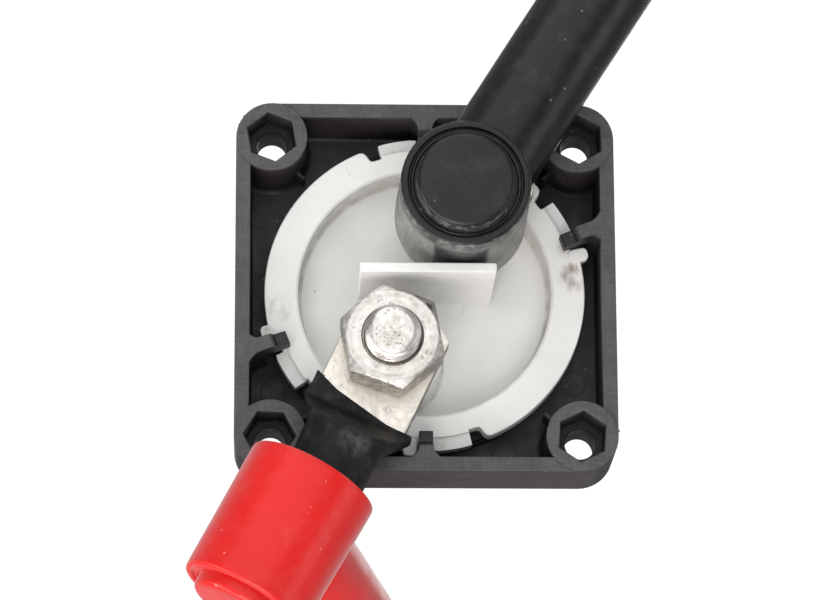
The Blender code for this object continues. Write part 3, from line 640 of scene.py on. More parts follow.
# %% Vinyl, shrink sleeve and seals
def soft_vinyl(name, colour, deep, roughness, dust, dust_share, coat=0.0, sheen=0.0, lid=None, scuff=None):
    """Soft skin with lint and dust. A lid's centre adds dust and painted highlights on its rim edges to a
    hood, a scuff is a pale patch of painted sheen.
    """
    material, shader = start_finish(
        name, roughness, Coat_Weight=coat, Coat_Roughness=0.25, Specular_IOR_Level=0.25,
        Sheen_Weight=sheen, Sheen_Roughness=0.35)
    cloud = window(grain(14, 3), 0.35, 0.68)
    shade = blend(cloud, rgb(colour), rgb(deep))
    lint = both(specks(2.2, 0.06), window(grain(6, 2), 0.5, 0.6))
    dust_and_sheen = both(window(grain(3.4, 5, sharpness=0.6), 0.5, 0.78), dust_share)
    if lid:
        side = ring_band(lid, 11.93, 0.22, 0.06)
        side = both(side, both(1.0, both(band("X", -lid[0] - 11, 5, 4), 0.4), "SUBTRACT"))
        skirt = both(both(side, band("Y", 7.5, 10.5, 1.5)), facing("Z", 0.15, -0.35))
        clean = both(band("X", -lid[0] + 0.6, 4.5, 0.7), band("Y", 8.2, 7.6, 1.0))
        streaks = window(grain(1.5, 5, (1, 5, 1), 0.65), 0.3, 0.7, 0.45, 1.0)
        skirt = both(both(skirt, both(1.0, both(clean, 0.9), "SUBTRACT")), streaks)
        # painted highlights: pale lines along the lid's outer edge and the edge of its raised disc, broken
        # up like dust
        rim_highlights_and_dust = both(ring_band(lid, 11.6, 0.05, 0.12), ring_band(lid, 8.8, 0.04, 0.12), "MAXIMUM")
        rim_highlights_and_dust = both(rim_highlights_and_dust, window(grain(1.2, 4), 0.45, 0.65, 0.1, 0.6))
        dust_and_sheen = both(dust_and_sheen, both(both(skirt, 0.85), rim_highlights_and_dust, "MAXIMUM"), "MAXIMUM")
    if scuff:
        # painted sheen: a pale patch round the given point, standing in for a soft shine
        painted_sheen = both(near(*scuff), window(grain(1.6, 3), 0.3, 0.8))
        dust_and_sheen = both(dust_and_sheen, both(painted_sheen, 0.9), "MAXIMUM")
    shade = blend(both(dust_and_sheen, both(lint, 0.7), "MAXIMUM"), shade, rgb(dust))
    gloss = window(grain(4, 4), 0.3, 0.7, roughness - 0.06, roughness + 0.12)
    dress(shader, shade, gloss, [(grain(0.6, 3), 0.01), (grain(8, 2), 0.12)])
    return material


BLACK_BOOT_AT = (6.4, 13.1)
red_vinyl = soft_vinyl("red_boot_rubber", "d91815", "cc1512", 0.32, "f2a59e", 0.05, 0.3, 0.4)
black_vinyl = soft_vinyl("black_boot_rubber", "0f0f10", "141415", 0.34, "959591", 0.05, 0.25,
                         lid=BLACK_BOOT_AT)
# the scuff given to the shrink sleeve is a patch of painted sheen
shrink_black = soft_vinyl("shrink_black", "0e0e0f", "161617", 0.5, "7c7a7a", 0.14,
                          scuff=((-13.3, -32.6, 14.5), 3.8))
seal_rubber = soft_vinyl("seal_rubber", "1a1a1a", "202020", 0.65, "555555", 0.1)
knob_red = soft_vinyl("knob_red", "b8161a", "a81317", 0.4, "d98a86", 0.06, 0.1)
rotor_grey = moulded_black("rotor_grey", "8c8c8e", "9a9a9c")
dial_white = moulded_white("dial_white", "efefee", "e6e6e4")
mark_black = moulded_black("mark_black", "161616", "1f1f1f")
print("soft finishes made")

# %% [markdown]
# ## The housing
# One moulding: a square tray open at the back, four corner bosses with hexagon pockets for
# nuts, four hooks that catch the white base, and a round turret at the front that holds the
# turning parts. Each is a stack of rings, and Booleans join and cut them.

# %% Tray and bosses
tray = block(HOUSING_HALF, HOUSING_HALF, HOUSING_CORNER, [
    (FLANGE_FRONT, -0.5), (FLANGE_FRONT + 0.15, -0.15), (FLANGE_FRONT + 0.5, 0),
    (-0.2, 0), (-0.06, -0.06), (0, -0.2),
], count=12)
hollow = block(INNER_HALF, INNER_HALF, HOUSING_CORNER - 2.7, [
    (FLOOR, -0.8), (FLOOR + 0.06, -0.45), (FLOOR + 0.24, -0.2), (FLOOR + 0.7, 0),
    (-0.25, 0), (-0.07, 0.08), (0.02, 0.28), (1, 0.28),
], count=12)
housing = carve(tray, hollow)


def boss(centre):
    """A corner boss with a flared foot, kept inside the tray's outer faces."""
    pillar = post(6.48, [
        (FLOOR - 0.6, 0.9), (FLOOR + 0.1, 0.9), (FLOOR + 0.35, 0.4), (FLOOR + 1, 0),
        (0.16, 0), (0.26, -0.05), (0.3, -0.16),
    ], centre, 72)
    inside = rounded_box(HOUSING_HALF - 0.1, HOUSING_HALF - 0.1, HOUSING_CORNER - 0.1, 12)
    return carve(pillar, plate(inside, FLOOR - 2, 2), "INTERSECT")


def floor_mark(centre):
    return post(2.3, [(FLOOR - 0.4, 0), (FLOOR + 0.1, 0), (FLOOR + 0.17, -0.12)], centre, 32)


for centre in CORNERS:
    housing = join(housing, boss(centre))
FLOOR_MARKS = ((-29.6, 16.2), (-27.4, -17.0), (14.7, -29.0), (27.4, -15.2))
housing = join(housing, together([floor_mark(centre) for centre in FLOOR_MARKS]))
print("tray and bosses:", len(housing.faces), "faces")

# %% [markdown]
# A hook is a rib that leaves the wall with a flared root, runs in at the height of the rim,
# then steps down to a short catch over the base. Its plan and its side view are drawn as
# two plates, and the hook is what the two have in common.

# %% Hooks and fins
HOOK_HALF = 1.25
ROOT = 2.4
HOOK_SIDE = (
    (26.6, RING_TOP + 0.3), (31.1, RING_TOP + 0.3), (31.1, FLOOR - 0.5), (36, FLOOR - 0.5),
    (36, 0), (30.2, 0), (29.75, -0.12), (29.4, -0.5), (29.1, -1.3), (28.8, -1.65),
    (26.9, -1.95), (26.6, -2.25),
)


def hook(angle):
    lean = math.radians(angle - 90 * round(angle / 90))
    flare = []
    for i in range(9):
        clear = ROOT * i / 8
        flare.append((clear, HOOK_HALF + 1.5 * (1 - clear / ROOT) ** 2.2))
    outline = [(26.6, -HOOK_HALF)]
    for side in (-1, 1):
        edge = []
        for clear, y in flare:
            wall = (INNER_HALF + 0.3 + side * y * math.sin(lean)) / math.cos(lean)
            edge.append((wall - clear, side * y))
        outline += edge[::-1] if side < 0 else edge
    outline.append((26.6, HOOK_HALF))
    side_view = move(plate(HOOK_SIDE, -6, 6), Matrix.Rotation(math.radians(90), 4, "X"))
    return swing(carve(plate(outline, FLOOR - 0.4, -0.02), side_view, "INTERSECT"), angle)


def oblong(start, end, half):
    """A rectangle along x."""
    return [(start, -half), (end, -half), (end, half), (start, half)]


def fin(centre, angle, reach, top):
    return swing(plate(oblong(5.9, reach, 0.28), FLOOR - 0.3, top), angle, centre)


housing = join(housing, together([hook(angle) for angle in HOOK_ANGLES]))
housing = join(housing, together([
    fin((28, -28), 137, 8.6, -6.5), fin((-28, 28), -43, 8.2, -7.5),
    fin((-28, -28), 35, 8.4, -4.0), fin((28, 28), 223, 8.4, -6.5),
]))
print("with hooks and fins:", len(housing.faces), "faces")

# %% Turret, seat and the bore for the turning parts
turret = post(26.5, [
    (FLOOR - 0.8, 0.6), (FLANGE_FRONT - 0.02, 0.6), (FLANGE_FRONT - 0.25, 0.2),
    (FLANGE_FRONT - 0.7, 0), (-31.9, 0), (-32.6, -0.2), (-32.9, -0.6), (-33.0, -1.1),
])
housing = join(housing, turret)
housing = join(housing, post(28.7, [(FLOOR - 0.8, 0), (-10.1, 0), (-9.9, -0.2)]))
BORE = (
    (0, -9), (25.7, -9), (25.7, -13.1), (24, -13.1), (24, -23), (22.1, -23), (22.1, -29),
    (24, -29), (24, -30.2), (23.7, -30.5), (6.3, -30.5), (6.3, -34), (0, -34),
)
housing = carve(housing, turned(BORE, 96))
DETENT_AT = 22.1
FIRST_DETENT = math.degrees(math.atan2(12.6, 6.4)) + 45
dimples = together([
    plate(circle(1.4, polar(DETENT_AT, FIRST_DETENT + 90 * i), 24), -29.8, -22.4) for i in range(4)
])
housing = carve(housing, dimples)
print("with the turret:", len(housing.faces), "faces")

# %% [markdown]
# The corner bosses are bored for M5 bolts, and each takes a nut in a hexagon pocket, which is
# turned differently in each corner.

# %% Bolt holes, nut pockets and flash
POCKET_TURNS = (-1, 39, 26, 32)
for centre, turn in zip(CORNERS, POCKET_TURNS):
    pocket = stack(lambda growth: hexagon(8.2 + 2 * growth, turn, centre),
                   [(-6, -0.1), (-5.85, 0), (0.05, 0), (0.22, 0.1), (0.32, 0.26), (1, 0.26)])
    housing = carve(housing, pocket)
BOLT_HOLE = ((-16, 0.5), (-14.1, 0.25), (-13.8, 0), (-6.2, 0), (-5.95, 0.15), (-5, 0.15))
housing = carve(housing, together([post(2.8, BOLT_HOLE, centre, 40) for centre in CORNERS]))


def crumb(spot, size, seed):
    """A scrap of flash: a small ball pushed out of round."""
    bm = bmesh.new()
    bmesh.ops.create_icosphere(bm, subdivisions=2, radius=size)
    for vert in bm.verts:
        push = noise.noise(vert.co * 3 / size + Vector((seed, 0, 0)))
        vert.co *= 1 + 0.5 * push
    bmesh.ops.scale(bm, vec=(1, 1, 0.7), verts=bm.verts)
    bmesh.ops.translate(bm, vec=spot, verts=bm.verts)
    return bm


chance = random.Random(4)
flash = []
for corner, angles, count in (((28, -28), (-6, 52), 9), ((28, -28), (212, 246), 4),
                              ((-28, -28), (28, 55), 4), ((-28, 28), (140, 170), 2)):
    for i in range(count):
        angle = angles[0] + (angles[1] - angles[0]) * (i + 0.3 * chance.random()) / count
        x, y = polar(6.2 + 0.35 * chance.random(), angle)
        reach = 0.17 + 0.16 * chance.random()
        flash.append(crumb((corner[0] + x, corner[1] + y, 0.16), reach, i * 3.7 + angle))
housing = join(housing, together(flash))
settle("housing_moulding", housing, housing_black, "housing")

# %% [markdown]
# ## The white base
# The base drops into the tray and locks under the hooks. Its ring has the same four
# features at each hook: a locating pin, a gap for the hook, a lower tab to turn against,
# and a notch that ends in a rounded corner. Inside the ring a dish leaves room to work.

# %% Base ring with its tabs
RING_RADIUS = 29.2
FEATURES = (
    (-7.6, 29.2), (-7.3, 29.9), (-6.7, 30.5), (-5.9, 30.8), (-5, 30.85), (-4.1, 30.8), (-3.4, 30.5),
    (-2.8, 29.6), (-2.65, 28.0), (2.85, 28.0), (3.0, 29.4), (5, 29.5), (7.5, 29.5), (10, 29.5),
    (12.5, 29.5), (15, 29.5), (16.7, 29.45), (16.95, 26.8), (18, 26.75), (19.2, 26.75), (20.4, 26.8),
    (21.3, 26.95), (21.75, 27.6), (22.1, 28.3), (22.7, 28.85), (23.5, 29.1), (24.5, RING_RADIUS),
)


def base_outline():
    outline = []
    for index, angle in enumerate(HOOK_ANGLES):
        outline += [polar(radius, angle + offset) for offset, radius in FEATURES]
        following = HOOK_ANGLES[(index + 1) % 4] + (360 if index == 3 else 0)
        start, end = angle + FEATURES[-1][0], following + FEATURES[0][0]
        count = round((end - start) / 2)
        outline += [polar(RING_RADIUS, start + (end - start) * i / count) for i in range(1, count)]
    return outline


ring = plate(base_outline(), RING_BOTTOM, RING_TOP)
rim = [e for e in ring.edges if all(abs(v.co.z - RING_TOP) < 1e-4 for v in e.verts)]
soften(ring, rim, 0.28, 3, clamp=True)
print("base ring:", len(ring.faces), "faces")


def ledge(angle):
    """The strip along the outside of a tab that sits lower than the ring."""
    count = 14
    arc = [angle + 2.4 + 14.8 * i / count for i in range(count + 1)]
    outline = [polar(27.15, a) for a in arc] + [polar(31.5, a) for a in reversed(arc)]
    return plate(outline, RING_TOP - 0.8, RING_TOP + 1)


def pin(angle):
    """The locating pin: a short bar that stands a little proud of the ring."""
    bar = block(1.8, 1.2, 0.9, [
        (RING_TOP - 1, 0), (RING_TOP + 0.25, 0), (RING_TOP + 0.4, -0.06), (RING_TOP + 0.45, -0.22),
    ], (29, 0), 6)
    return swing(bar, angle - 5.6)


base = carve(ring, together([ledge(angle) for angle in HOOK_ANGLES]))
base = join(base, together([pin(angle) for angle in HOOK_ANGLES]))
base = join(base, post(25.3, [(-12.7, -0.3), (-12.4, 0), (-7, 0)]))
base = carve(base, post(23, [
    (-10.7, -0.7), (-10.63, -0.4), (-10.4, -0.12), (-10, 0),
    (-5.35, 0.05), (-5.12, 0.12), (-4.98, 0.35), (-3, 0.35),
]))
print("with its dish:", len(base.faces), "faces")

# %% [markdown]
# Three raised rounds stand in the dish: a hub in the middle and a collar round each stud,
# with a barrier between the studs so that a spanner can't bridge them.

# %% Hub, collars, barrier and the marks of the mould's pins
def collar(centre, radius, top):
    return post(radius, [
        (-11.7, 0.5), (-10.66, 0.5), (-10.55, 0.2), (-10.3, 0),
        (top - 0.25, 0), (top - 0.07, -0.07), (top, -0.25),
    ], centre)


base = join(base, collar((0, 0), 7.4, -9.2))
for centre in STUDS.values():
    base = join(base, collar(centre, 9.4, 0.0))

WALL_AT = -0.1
wall = block(12.2, 0.9, 0.35, [(-11.8, 0), (11.75, 0), (11.93, -0.07), (12.0, -0.25)], (0, WALL_AT), 5)
base = join(base, wall)
for centre in STUDS.values():
    bore = post(7.9, [(-14, 0), (-0.2, 0), (-0.05, 0.08), (0.1, 0.3), (1, 0.3)], centre)
    base = carve(base, bore)


def pin_mark(centre):
    steps = [(RING_TOP - 0.1, -0.12), (RING_TOP - 0.02, 0.03), (RING_TOP + 1, 0.03)]
    return post(1.9, steps, centre, 40)


base = carve(base, together([pin_mark(c) for c in ((-12.3, 23.7), (-27.0, -5.3), (12.0, -23.8))]))
PIP = ((11.5, 0), (12.03, 0), (12.07, -0.1))
base = join(base, together([post(0.78, PIP, (x, WALL_AT), 20) for x in (-8.6, 0.4, 8.9)]))
settle("contact_base_moulding", base, base_white, "contact_base")

# %% [markdown]
# ## Studs and nuts
# A stud is turned, then threaded: here the turned blank gets fine rings along its threaded
# length, and every point is moved in by how far it lies from the crest of a helix. That
# gives a real M10 thread of 1.5 mm pitch, which runs out towards the chamfered tip.

# %% Threaded studs
PITCH = 1.5
THREAD_DEPTH = 0.6
STUD_TIP = 15.6
THREAD_FOOT = 1.2
FINE_STEP = 0.125


def stud(centre):
    profile = [(0, STUD_TIP), (3.4, STUD_TIP), (3.75, STUD_TIP - 0.04), (3.95, STUD_TIP - 0.18)]
    for i in range(round((STUD_TIP - 0.3 - THREAD_FOOT) / FINE_STEP) + 1):
        z = STUD_TIP - 0.3 - FINE_STEP * i
        profile.append((min(5.0, 4.1 + 1.8 * (STUD_TIP - 0.2 - z)), z))
    profile += [(5, 0.15), (5.3, 0.1), (7.4, 0.1), (7.6, -0.1), (7.6, -13), (8.8, -13), (9, -13.2),
                (9, -15.3), (8.8, -15.5), (0, -15.5)]
    bm = turned(profile, 72)
    for vert in bm.verts:
        x, y, z = vert.co
        if THREAD_FOOT < z < STUD_TIP - 0.25 and math.hypot(x, y) > 1:
            turn = (z / PITCH - math.atan2(y, x) / (2 * math.pi)) % 1
            groove = 1 - abs(2 * turn - 1)
            fade = max(0, min(1, (STUD_TIP - 0.3 - z) / 0.3, (z - THREAD_FOOT) / 0.6))
            depth = THREAD_DEPTH * fade * max(0, 1.25 * groove - 0.12)
            narrowed = 1 - depth / math.hypot(x, y)
            vert.co.x *= narrowed
            vert.co.y *= narrowed
    bmesh.ops.translate(bm, verts=bm.verts, vec=(*centre, 0))
    return bm


for label, centre in STUDS.items():
    settle(f"{label}_stud_threaded", stud(centre), tin, f"{label}_stud", 50)

# %% [markdown]
# A nut is a slice of hexagon bar whose corners are turned back to a cone. The bar and the
# coned blank are two solids, and the nut is what they share, less its countersunk hole.

# %% Nuts
NUT_LOW = 3.7
NUT_HIGH = 11.7


def nut(centre, turn):
    blank = stack(lambda growth: hexagon(17 + 2 * growth, turn, centre),
                  [(NUT_LOW, -0.05), (NUT_LOW + 0.05, 0), (NUT_HIGH - 0.05, 0), (NUT_HIGH, -0.05)])
    soften(blank, [e for e in blank.edges if drop(e) > 1], 0.14, 2)
    cone = turned([
        *raised(((0, 0), (6.5, 0), (6.8, -0.03), (7.0, -0.09), (7.2, -0.11), (7.45, -0.06),
                 (7.8, -0.04), (8.1, -0.08), (8.3, -0.16), (10.6, -1.45)), NUT_HIGH),
        *raised(((10.6, 1.45), (8.3, 0.14), (8.0, 0), (0, 0)), NUT_LOW),
    ], 144, centre)
    blank = carve(blank, cone, "INTERSECT")
    hole = turned([
        *raised(((0, 1), (5.65, 1), (5.6, 0.02), (5.45, -0.06), (5.2, -0.25), (5.12, -0.4)), NUT_HIGH),
        *raised(((5.12, 0.8), (6, -0.02), (6, -1), (0, -1)), NUT_LOW),
    ], 96, centre)
    return carve(blank, hole)


for label, centre in STUDS.items():
    settle(f"{label}_nut_chamfered", nut(centre, NUT_TURN), nut_tin[label],
           f"{label}_nut", 25)

# %% [markdown]
# ## Cable lugs and shrink sleeves
# A lug is a piece of copper tube, pressed flat at one end and drilled. Seen in slices along
# its length it goes from a flat, square-cornered section to a round one, so its neck is a
# skin through sections that change smoothly. The shrink sleeve follows them further out.

# %% Sections along a lug
PALM_LOW = 0.4
PALM_THICK = 3.0
NECKS = {"positive": (13.5, 21.0), "negative": (9.3, 15.8)}
PALM_END = 9.9
PALM_HALF = 9.05
BARREL_Z = 8.6
BARREL_RADIUS = 6.15


def squircle(half_width, half_height, power, steps=64):
    """Points of an oval whose corners sharpen as the power rises above 2."""
    points = []
    for i in range(steps):
        c, s = polar(1, 360 * (i + 0.5) / steps)
        points.append((math.copysign(half_width * abs(c) ** (2 / power), c),
                       math.copysign(half_height * abs(s) ** (2 / power), s)))
    return points


def neck_section(label, x, grow=0.0, start_at=None):
    """The lug's section x millimetres out from its stud, grown outwards."""
    begins, ends = NECKS[label]
    part = min(1, max(0, (x - begins) / (ends - begins)))
    ease = part * part * (3 - 2 * part)
    width = PALM_HALF + (BARREL_RADIUS - PALM_HALF) * ease + grow
    height = PALM_THICK / 2 - 0.03 + (BARREL_RADIUS - PALM_THICK / 2) * ease + grow
    middle = PALM_LOW + PALM_THICK / 2
    z = middle + (BARREL_Z - middle) * ease
    outline = squircle(width, height, 9 - 7 * ease if part < 1 else 2)
    return [(x if start_at is None else start_at(y), y, z + dz) for y, dz in outline]


def swing_out(bm, label):
    """Turns a shape drawn along x to its lug's direction, about its stud."""
    return swing(bm, LUG_ANGLES[label], STUDS[label])


for x in (12, 17, 22):
    print("half width", x, "mm out:", round(max(p[1] for p in neck_section("positive", x)), 2))

# %% Lugs
def cable_lug(label):
    nose = [(-9.4, -3), (-5.4, -9.1), (PALM_END, -9.1), (PALM_END, 9.1), (-5.4, 9.1), (-9.4, 3)]
    palm = plate(nose, PALM_LOW, PALM_LOW + PALM_THICK)
    soften(palm, [e for e in palm.edges if drop(e) > 1 and e.verts[0].co.x < 0], 0.8, 4)
    soften(palm, [e for e in palm.edges if drop(e) < 1e-4], 0.22, 2)
    begins, ends = NECKS[label]
    stations = [PALM_END - 1.2] + [begins + (ends - begins) * i / 16 for i in range(17)] + [24, 30.7, 31]
    rings = [neck_section(label, x, -0.18 if x == 31 else 0) for x in stations]
    lug = join(palm, skin(rings))
    bore = [[(x, y, BARREL_Z + z) for y, z in squircle(4.8 + g, 4.8 + g, 2, 48)]
            for x, g in ((22.5, 0), (30.6, 0), (30.9, 0.2), (32, 0.2))]
    lug = carve(lug, skin(bore))
    hole = post(5.4, [
        (-1, 0.25), (PALM_LOW, 0.2), (PALM_LOW + 0.2, 0), (3.2, 0), (3.42, 0.2), (5, 0.25),
    ], count=64)
    return swing_out(carve(lug, hole), label)


for label in STUDS:
    settle(f"{label}_lug_pressed", cable_lug(label), lug_tin[label],
           f"{label}_cable_lug", 28)

# %% [markdown]
# The sleeve is soft while hot, so its cut edge wanders across the palm and its skin pulls
# into shallow folds. Both walls are moved by the same slow noise, so the thickness stays.

# %% Shrink sleeves
def slanted_start(y):
    """Where the sleeve's cut edge crosses the palm, from one side to the other."""
    return 12.85 + 0.2 * y - 0.014 * y * y


def folds(x, y, z, over_palm):
    """How far the skin stands out from a plain fit, in millimetres."""
    calm = min(1, max(0, (x - 12) / 3))
    along = noise.noise(Vector((x * 0.20, y * 0.45, z * 0.45)) + Vector((3.1, 0.4, 7.7)))
    fine = noise.noise(Vector((x * 0.7, y * 0.9, z * 0.9)) + Vector((9.2, 5.5, 1.3)))
    corner = math.exp(-((x - 14.2) / 1.1) ** 2) * max(0, abs(y) - 6) / 3 if over_palm else 0
    return (0.30 * along + 0.08 * fine) * calm + 0.7 * corner


def shrink_sleeve(label, over_palm):
    if over_palm:
        stations = [14.2 + 0.35 * i for i in range(20)] + [21.5 + 0.75 * i for i in range(20)]
    else:
        stations = [16.4 + 0.9 * i for i in range(22)] + [36.0]
    walls = []
    for grow in (0.42, 0.92):
        rings = [neck_section(label, 12, grow, slanted_start)] if over_palm else []
        walls.append(rings + [neck_section(label, x, grow) for x in stations])
    if over_palm:
        for rings in walls:
            edge, after = rings[0], rings[1]
            rings.insert(1, [tuple((a + b) / 2 for a, b in zip(p, q)) for p, q in zip(edge, after)])
    bm = tube(walls[1], walls[0])
    bm.normal_update()
    for vert in bm.verts:
        x, y, z = vert.co
        out = Vector((0, y, z - BARREL_Z * min(1, max(0.22, (x - NECKS[label][0]) / 7)))).normalized()
        vert.co += out * (0.28 * 0.4 + folds(x, y, z, over_palm) * 0.55)
    return swing_out(bm, label)


for label, over_palm in (("positive", True), ("negative", False)):
    settle(f"{label}_shrink_sleeve", shrink_sleeve(label, over_palm), shrink_black,
           f"{label}_heat_shrink", 60, weighted=False)

# %% [markdown]
# ## Terminal boots
# Both boots are of one pattern: a hood like a small can, with a stepped lid, and a sleeve at
# its side. The black one is pushed over its terminal, and its mouth is opened where it
# straddles the lug. The red one is deeper, and has been pulled off to hang mouth up.

# %% The boot's mould, with its mouth at z = 0 and its sleeve along x
HOOD_LID = (
    (0, 2.4), (5.5, 2.38), (7.6, 2.33), (8.2, 2.22), (8.55, 1.95), (8.75, 1.5), (8.8, 1.0),
    (8.82, -0.2), (8.95, -0.55), (9.15, -0.6), (9.3, -0.45), (9.4, -0.3), (9.7, -0.25),
    (9.9, -0.4), (10.0, -0.7), (10.15, -0.7), (10.25, -0.3), (10.4, -0.08), (10.8, 0.0),
    (11.2, -0.05), (11.45, -0.2), (11.58, -0.5), (11.62, -1.1), (11.66, -2.6),
)
HOOD_WALL = (
    (11.8, 13), (11.88, 9), (11.95, 5), (12, 1), (12, 0.35), (11.9, 0.1), (11.65, 0), (0, 0),
)
ROOM_TOP = ((0, -3.0), (10.2, -3.0), (10.7, -3.3), (10.85, -4.0))
ROOM_MOUTH = ((11.2, 0.4), (11.32, -0.1), (11.32, -1), (0, -1))
HOOD_HEIGHTS = {"black": 21.6, "red": 25.4}
SLEEVE_AT = 10.4
SLEEVE_END = 56.0


def sleeve_rings(radius, stations):
    return [[(x, y, SLEEVE_AT + z) for y, z in squircle(radius + g, radius + g, 2, 96)]
            for x, g in stations]


def boot(colour, seed):
    height = HOOD_HEIGHTS[colour]
    bm = turned([*raised(HOOD_LID, height), *HOOD_WALL], 144)
    outside = [(4, 0), (10, 0)] + [(12 + 2 * i, 0) for i in range(22)]
    outside += [(55.6, 0), (55.9, -0.12), (SLEEVE_END, -0.3)]
    bm = join(bm, skin(sleeve_rings(8.9, outside)))
    bm = carve(bm, turned([*raised(ROOM_TOP, height), *ROOM_MOUTH], 96))
    bm = carve(bm, skin(sleeve_rings(8.1, [(2, 0), (30, 0), (55.7, 0), (55.95, 0.15), (57, 0.15)])))
    if colour == "black":
        lug_room = skin([
            [(x, -reach, -2), (x, reach, -2), (x, reach, top), (x, -reach, top)]
            for x, reach, top in ((1, 9.6, 6), (9, 9.6, 6), (11, 9.3, 9), (16, 6.8, 13))
        ])
        bm = carve(bm, lug_room, solver="MANIFOLD")
    for vert in bm.verts:
        x, y, z = vert.co
        along = max(0, min(1, (x - 13) / 12))
        sway = noise.noise(Vector((x * 0.05, y * 0.10, z * 0.10)) + Vector((seed, 0, 0)))
        ripple = noise.noise(Vector((x * 0.22, y * 0.3, z * 0.3)) + Vector((0, seed, 0)))
        out = Vector((0, y, z - SLEEVE_AT))
        if out.length > 1:
            vert.co += out.normalized() * along * (0.12 * sway + 0.03 * ripple - 0.06)
    return bm


def pose_boot(bm, place, hood_axis, sleeve_axis):
    z = Vector(hood_axis).normalized()
    x = Vector(sleeve_axis)
    x = (x - z * x.dot(z)).normalized()
    return move(bm, Matrix.Translation(place) @ Matrix((x, z.cross(x), z)).transposed().to_4x4())


black = pose_boot(boot("black", 2.0), (*BLACK_BOOT_AT, -1), (0, 0, 1),
                  (*polar(1, LUG_ANGLES["negative"]), 0))
settle("black_terminal_boot", black, black_vinyl, "black_boot", 40)
red = pose_boot(boot("red", 5.0), (-20.4, -38.3, 10), (-0.478, -0.873, 0.085), (0.31, -0.264, -0.913))
settle("red_terminal_boot", red, red_vinyl, "red_boot", 40)

# %% [markdown]
# ## Knob and dial
# The front carries a pale dial and the red knob, a shallow cap with a finger grip across it.
# The grip's flanks are ribbed for wet hands, and a white bar at one end points at the dial,
# which has a ring for off and a bar for on.

# %% Dial with its two marks
DIAL_FRONT = -34.2
MARK_HEIGHTS = (DIAL_FRONT - 0.09, DIAL_FRONT + 0.2)


def dial_plate():
    return turned([
        (10, -33.3), (24.85, -33.3), (25, -33.45), (25, -34.0), (24.9, -34.15), (24.7, DIAL_FRONT),
        (21.6, DIAL_FRONT), (21.45, -34.1), (10.2, -34.1), (10, -34.0),
    ], 128)


def tick(angle, inner, outer, half):
    return swing(plate(oblong(inner, outer, half), *MARK_HEIGHTS), angle)


def off_ring(angle):
    top, foot = MARK_HEIGHTS
    ring = turned([(0.75, top), (1.15, top), (1.15, foot), (0.75, foot)], 40)
    return move(ring, Matrix.Translation((*polar(23.2, angle), 0)))


settle("dial_plate", dial_plate(), dial_white, "dial_ring", 25)
OFF_ANGLE = 180.0
ON_ANGLE = 270.0
sweep = [tick(OFF_ANGLE + 12 + 6 * i, 22.9 - 0.06 * i, 23.3 + 0.06 * i, 0.16 + 0.02 * i) for i in range(12)]
marks = together([off_ring(OFF_ANGLE), tick(ON_ANGLE, 22.0, 24.3, 0.28)] + sweep)
settle("dial_marks", marks, mark_black, None, 30)

# %% Knob
KNOB_BACK = -34.8
KNOB_FACE = -45.0
GRIP_FACE = -58.0
POINTER_AT = -14.2


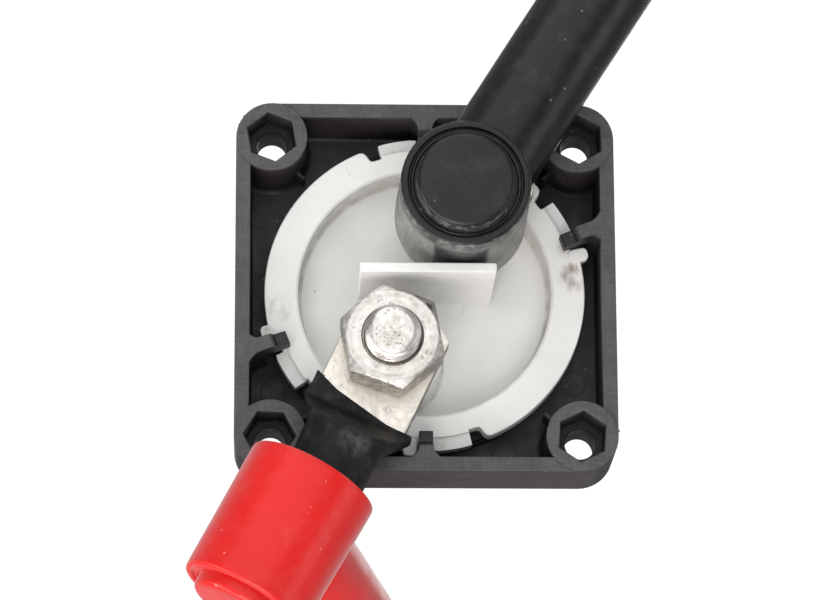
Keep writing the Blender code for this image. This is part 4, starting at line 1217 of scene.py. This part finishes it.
def knob_body():
    cap = turned([
        (0, KNOB_BACK), (20.9, KNOB_BACK), (21, KNOB_BACK - 0.15), (20.95, KNOB_BACK - 1.6),
        (20.75, KNOB_BACK - 1.8), (20.5, -42.8), (20.2, -43.7), (19.6, -44.4), (18.7, -44.85),
        (17.6, KNOB_FACE), (0, KNOB_FACE),
    ], 144)
    grip = block(20, 6.8, 5, [
        (KNOB_FACE + 1, 0.9), (KNOB_FACE - 0.05, 0.9), (KNOB_FACE - 0.3, 0.4), (KNOB_FACE - 0.9, 0.05),
        (-55.2, -0.5), (-56.6, -0.75), (-57.5, -1.25), (-57.9, -1.9), (GRIP_FACE, -2.8),
    ])
    knob = join(cap, grip)
    ribs = [plate(circle(0.55, (i * 2.6, side * 6.45), 16), KNOB_FACE - 1.2, -55.6)
            for i in range(-3, 4) for side in (-1, 1)]
    knob = carve(knob, together(ribs))
    knob = carve(knob, plate(circle(18.4), KNOB_FACE + 2, KNOB_BACK + 1))
    knob = join(knob, plate(circle(8, steps=64), KNOB_FACE + 1, -35.6))
    knob = carve(knob, plate(rounded_box(4.3, 4.3, 0.8, 4), -46.3, -34))
    knob = carve(knob, plate(circle(2.3, steps=32), GRIP_FACE, -46))
    well = post(4.4, [
        (-49, 0), (GRIP_FACE + 0.25, 0), (GRIP_FACE + 0.05, 0.1), (GRIP_FACE - 0.02, 0.25), (-59, 0.25),
    ], count=48)
    slot = block(2.6, 0.75, 0.7, [(-57.35, 0), (-60, 0)], (POINTER_AT, 0), 5)
    return carve(carve(knob, well), slot)


settle("knob_moulding", knob_body(), knob_red, "knob", 30, "knob")
pointer = block(2.5, 0.65, 0.6, [(-57.2, 0), (-57.9, 0), (-57.98, -0.1)], (POINTER_AT, 0), 5)
settle("knob_pointer", pointer, dial_white, None, 30, "knob")
cap = turned([(0, -55), (4.0, -55), (4.1, -55.1), (4.1, -57.7), (4.0, -57.9), (3.8, GRIP_FACE),
              (2.9, GRIP_FACE), (2.75, -57.9), (2.5, -57.85), (0, -57.8)], 64)
settle("knob_cap_plug", cap, knob_red, "knob_cap", 30, "knob")
screw = turned([(0, -38.3), (1.2, -38.3), (1.4, -38.5), (1.4, -49.1), (1.8, -49.3), (3.6, -49.3),
                (3.8, -49.5), (3.8, -50.9), (3.6, -51.3), (3, -51.7), (0, -51.7)], 48)
screw = carve(screw, plate(rounded_box(2.0, 0.4, 0.1, 2), -50.6, -53))
settle("knob_screw_slotted", screw, spring_steel, "knob_screw", 30, "knob")

# %% [markdown]
# ## What stays as it was packed
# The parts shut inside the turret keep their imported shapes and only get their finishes.

# %% Finishes for the inner parts
INNER = {
    "base_gasket": seal_rubber, "spindle_o_ring": seal_rubber, "contact_bridge": bare_copper,
    "contact_spring": spring_steel, "rotor": rotor_grey, "detent_ball_1": spring_steel,
    "detent_ball_2": spring_steel, "detent_spring_1": spring_steel, "detent_spring_2": spring_steel,
}
for name, material in INNER.items():
    for slot in nodes[name].material_slots:
        slot.material = material
print(len(INNER), "inner parts finished")
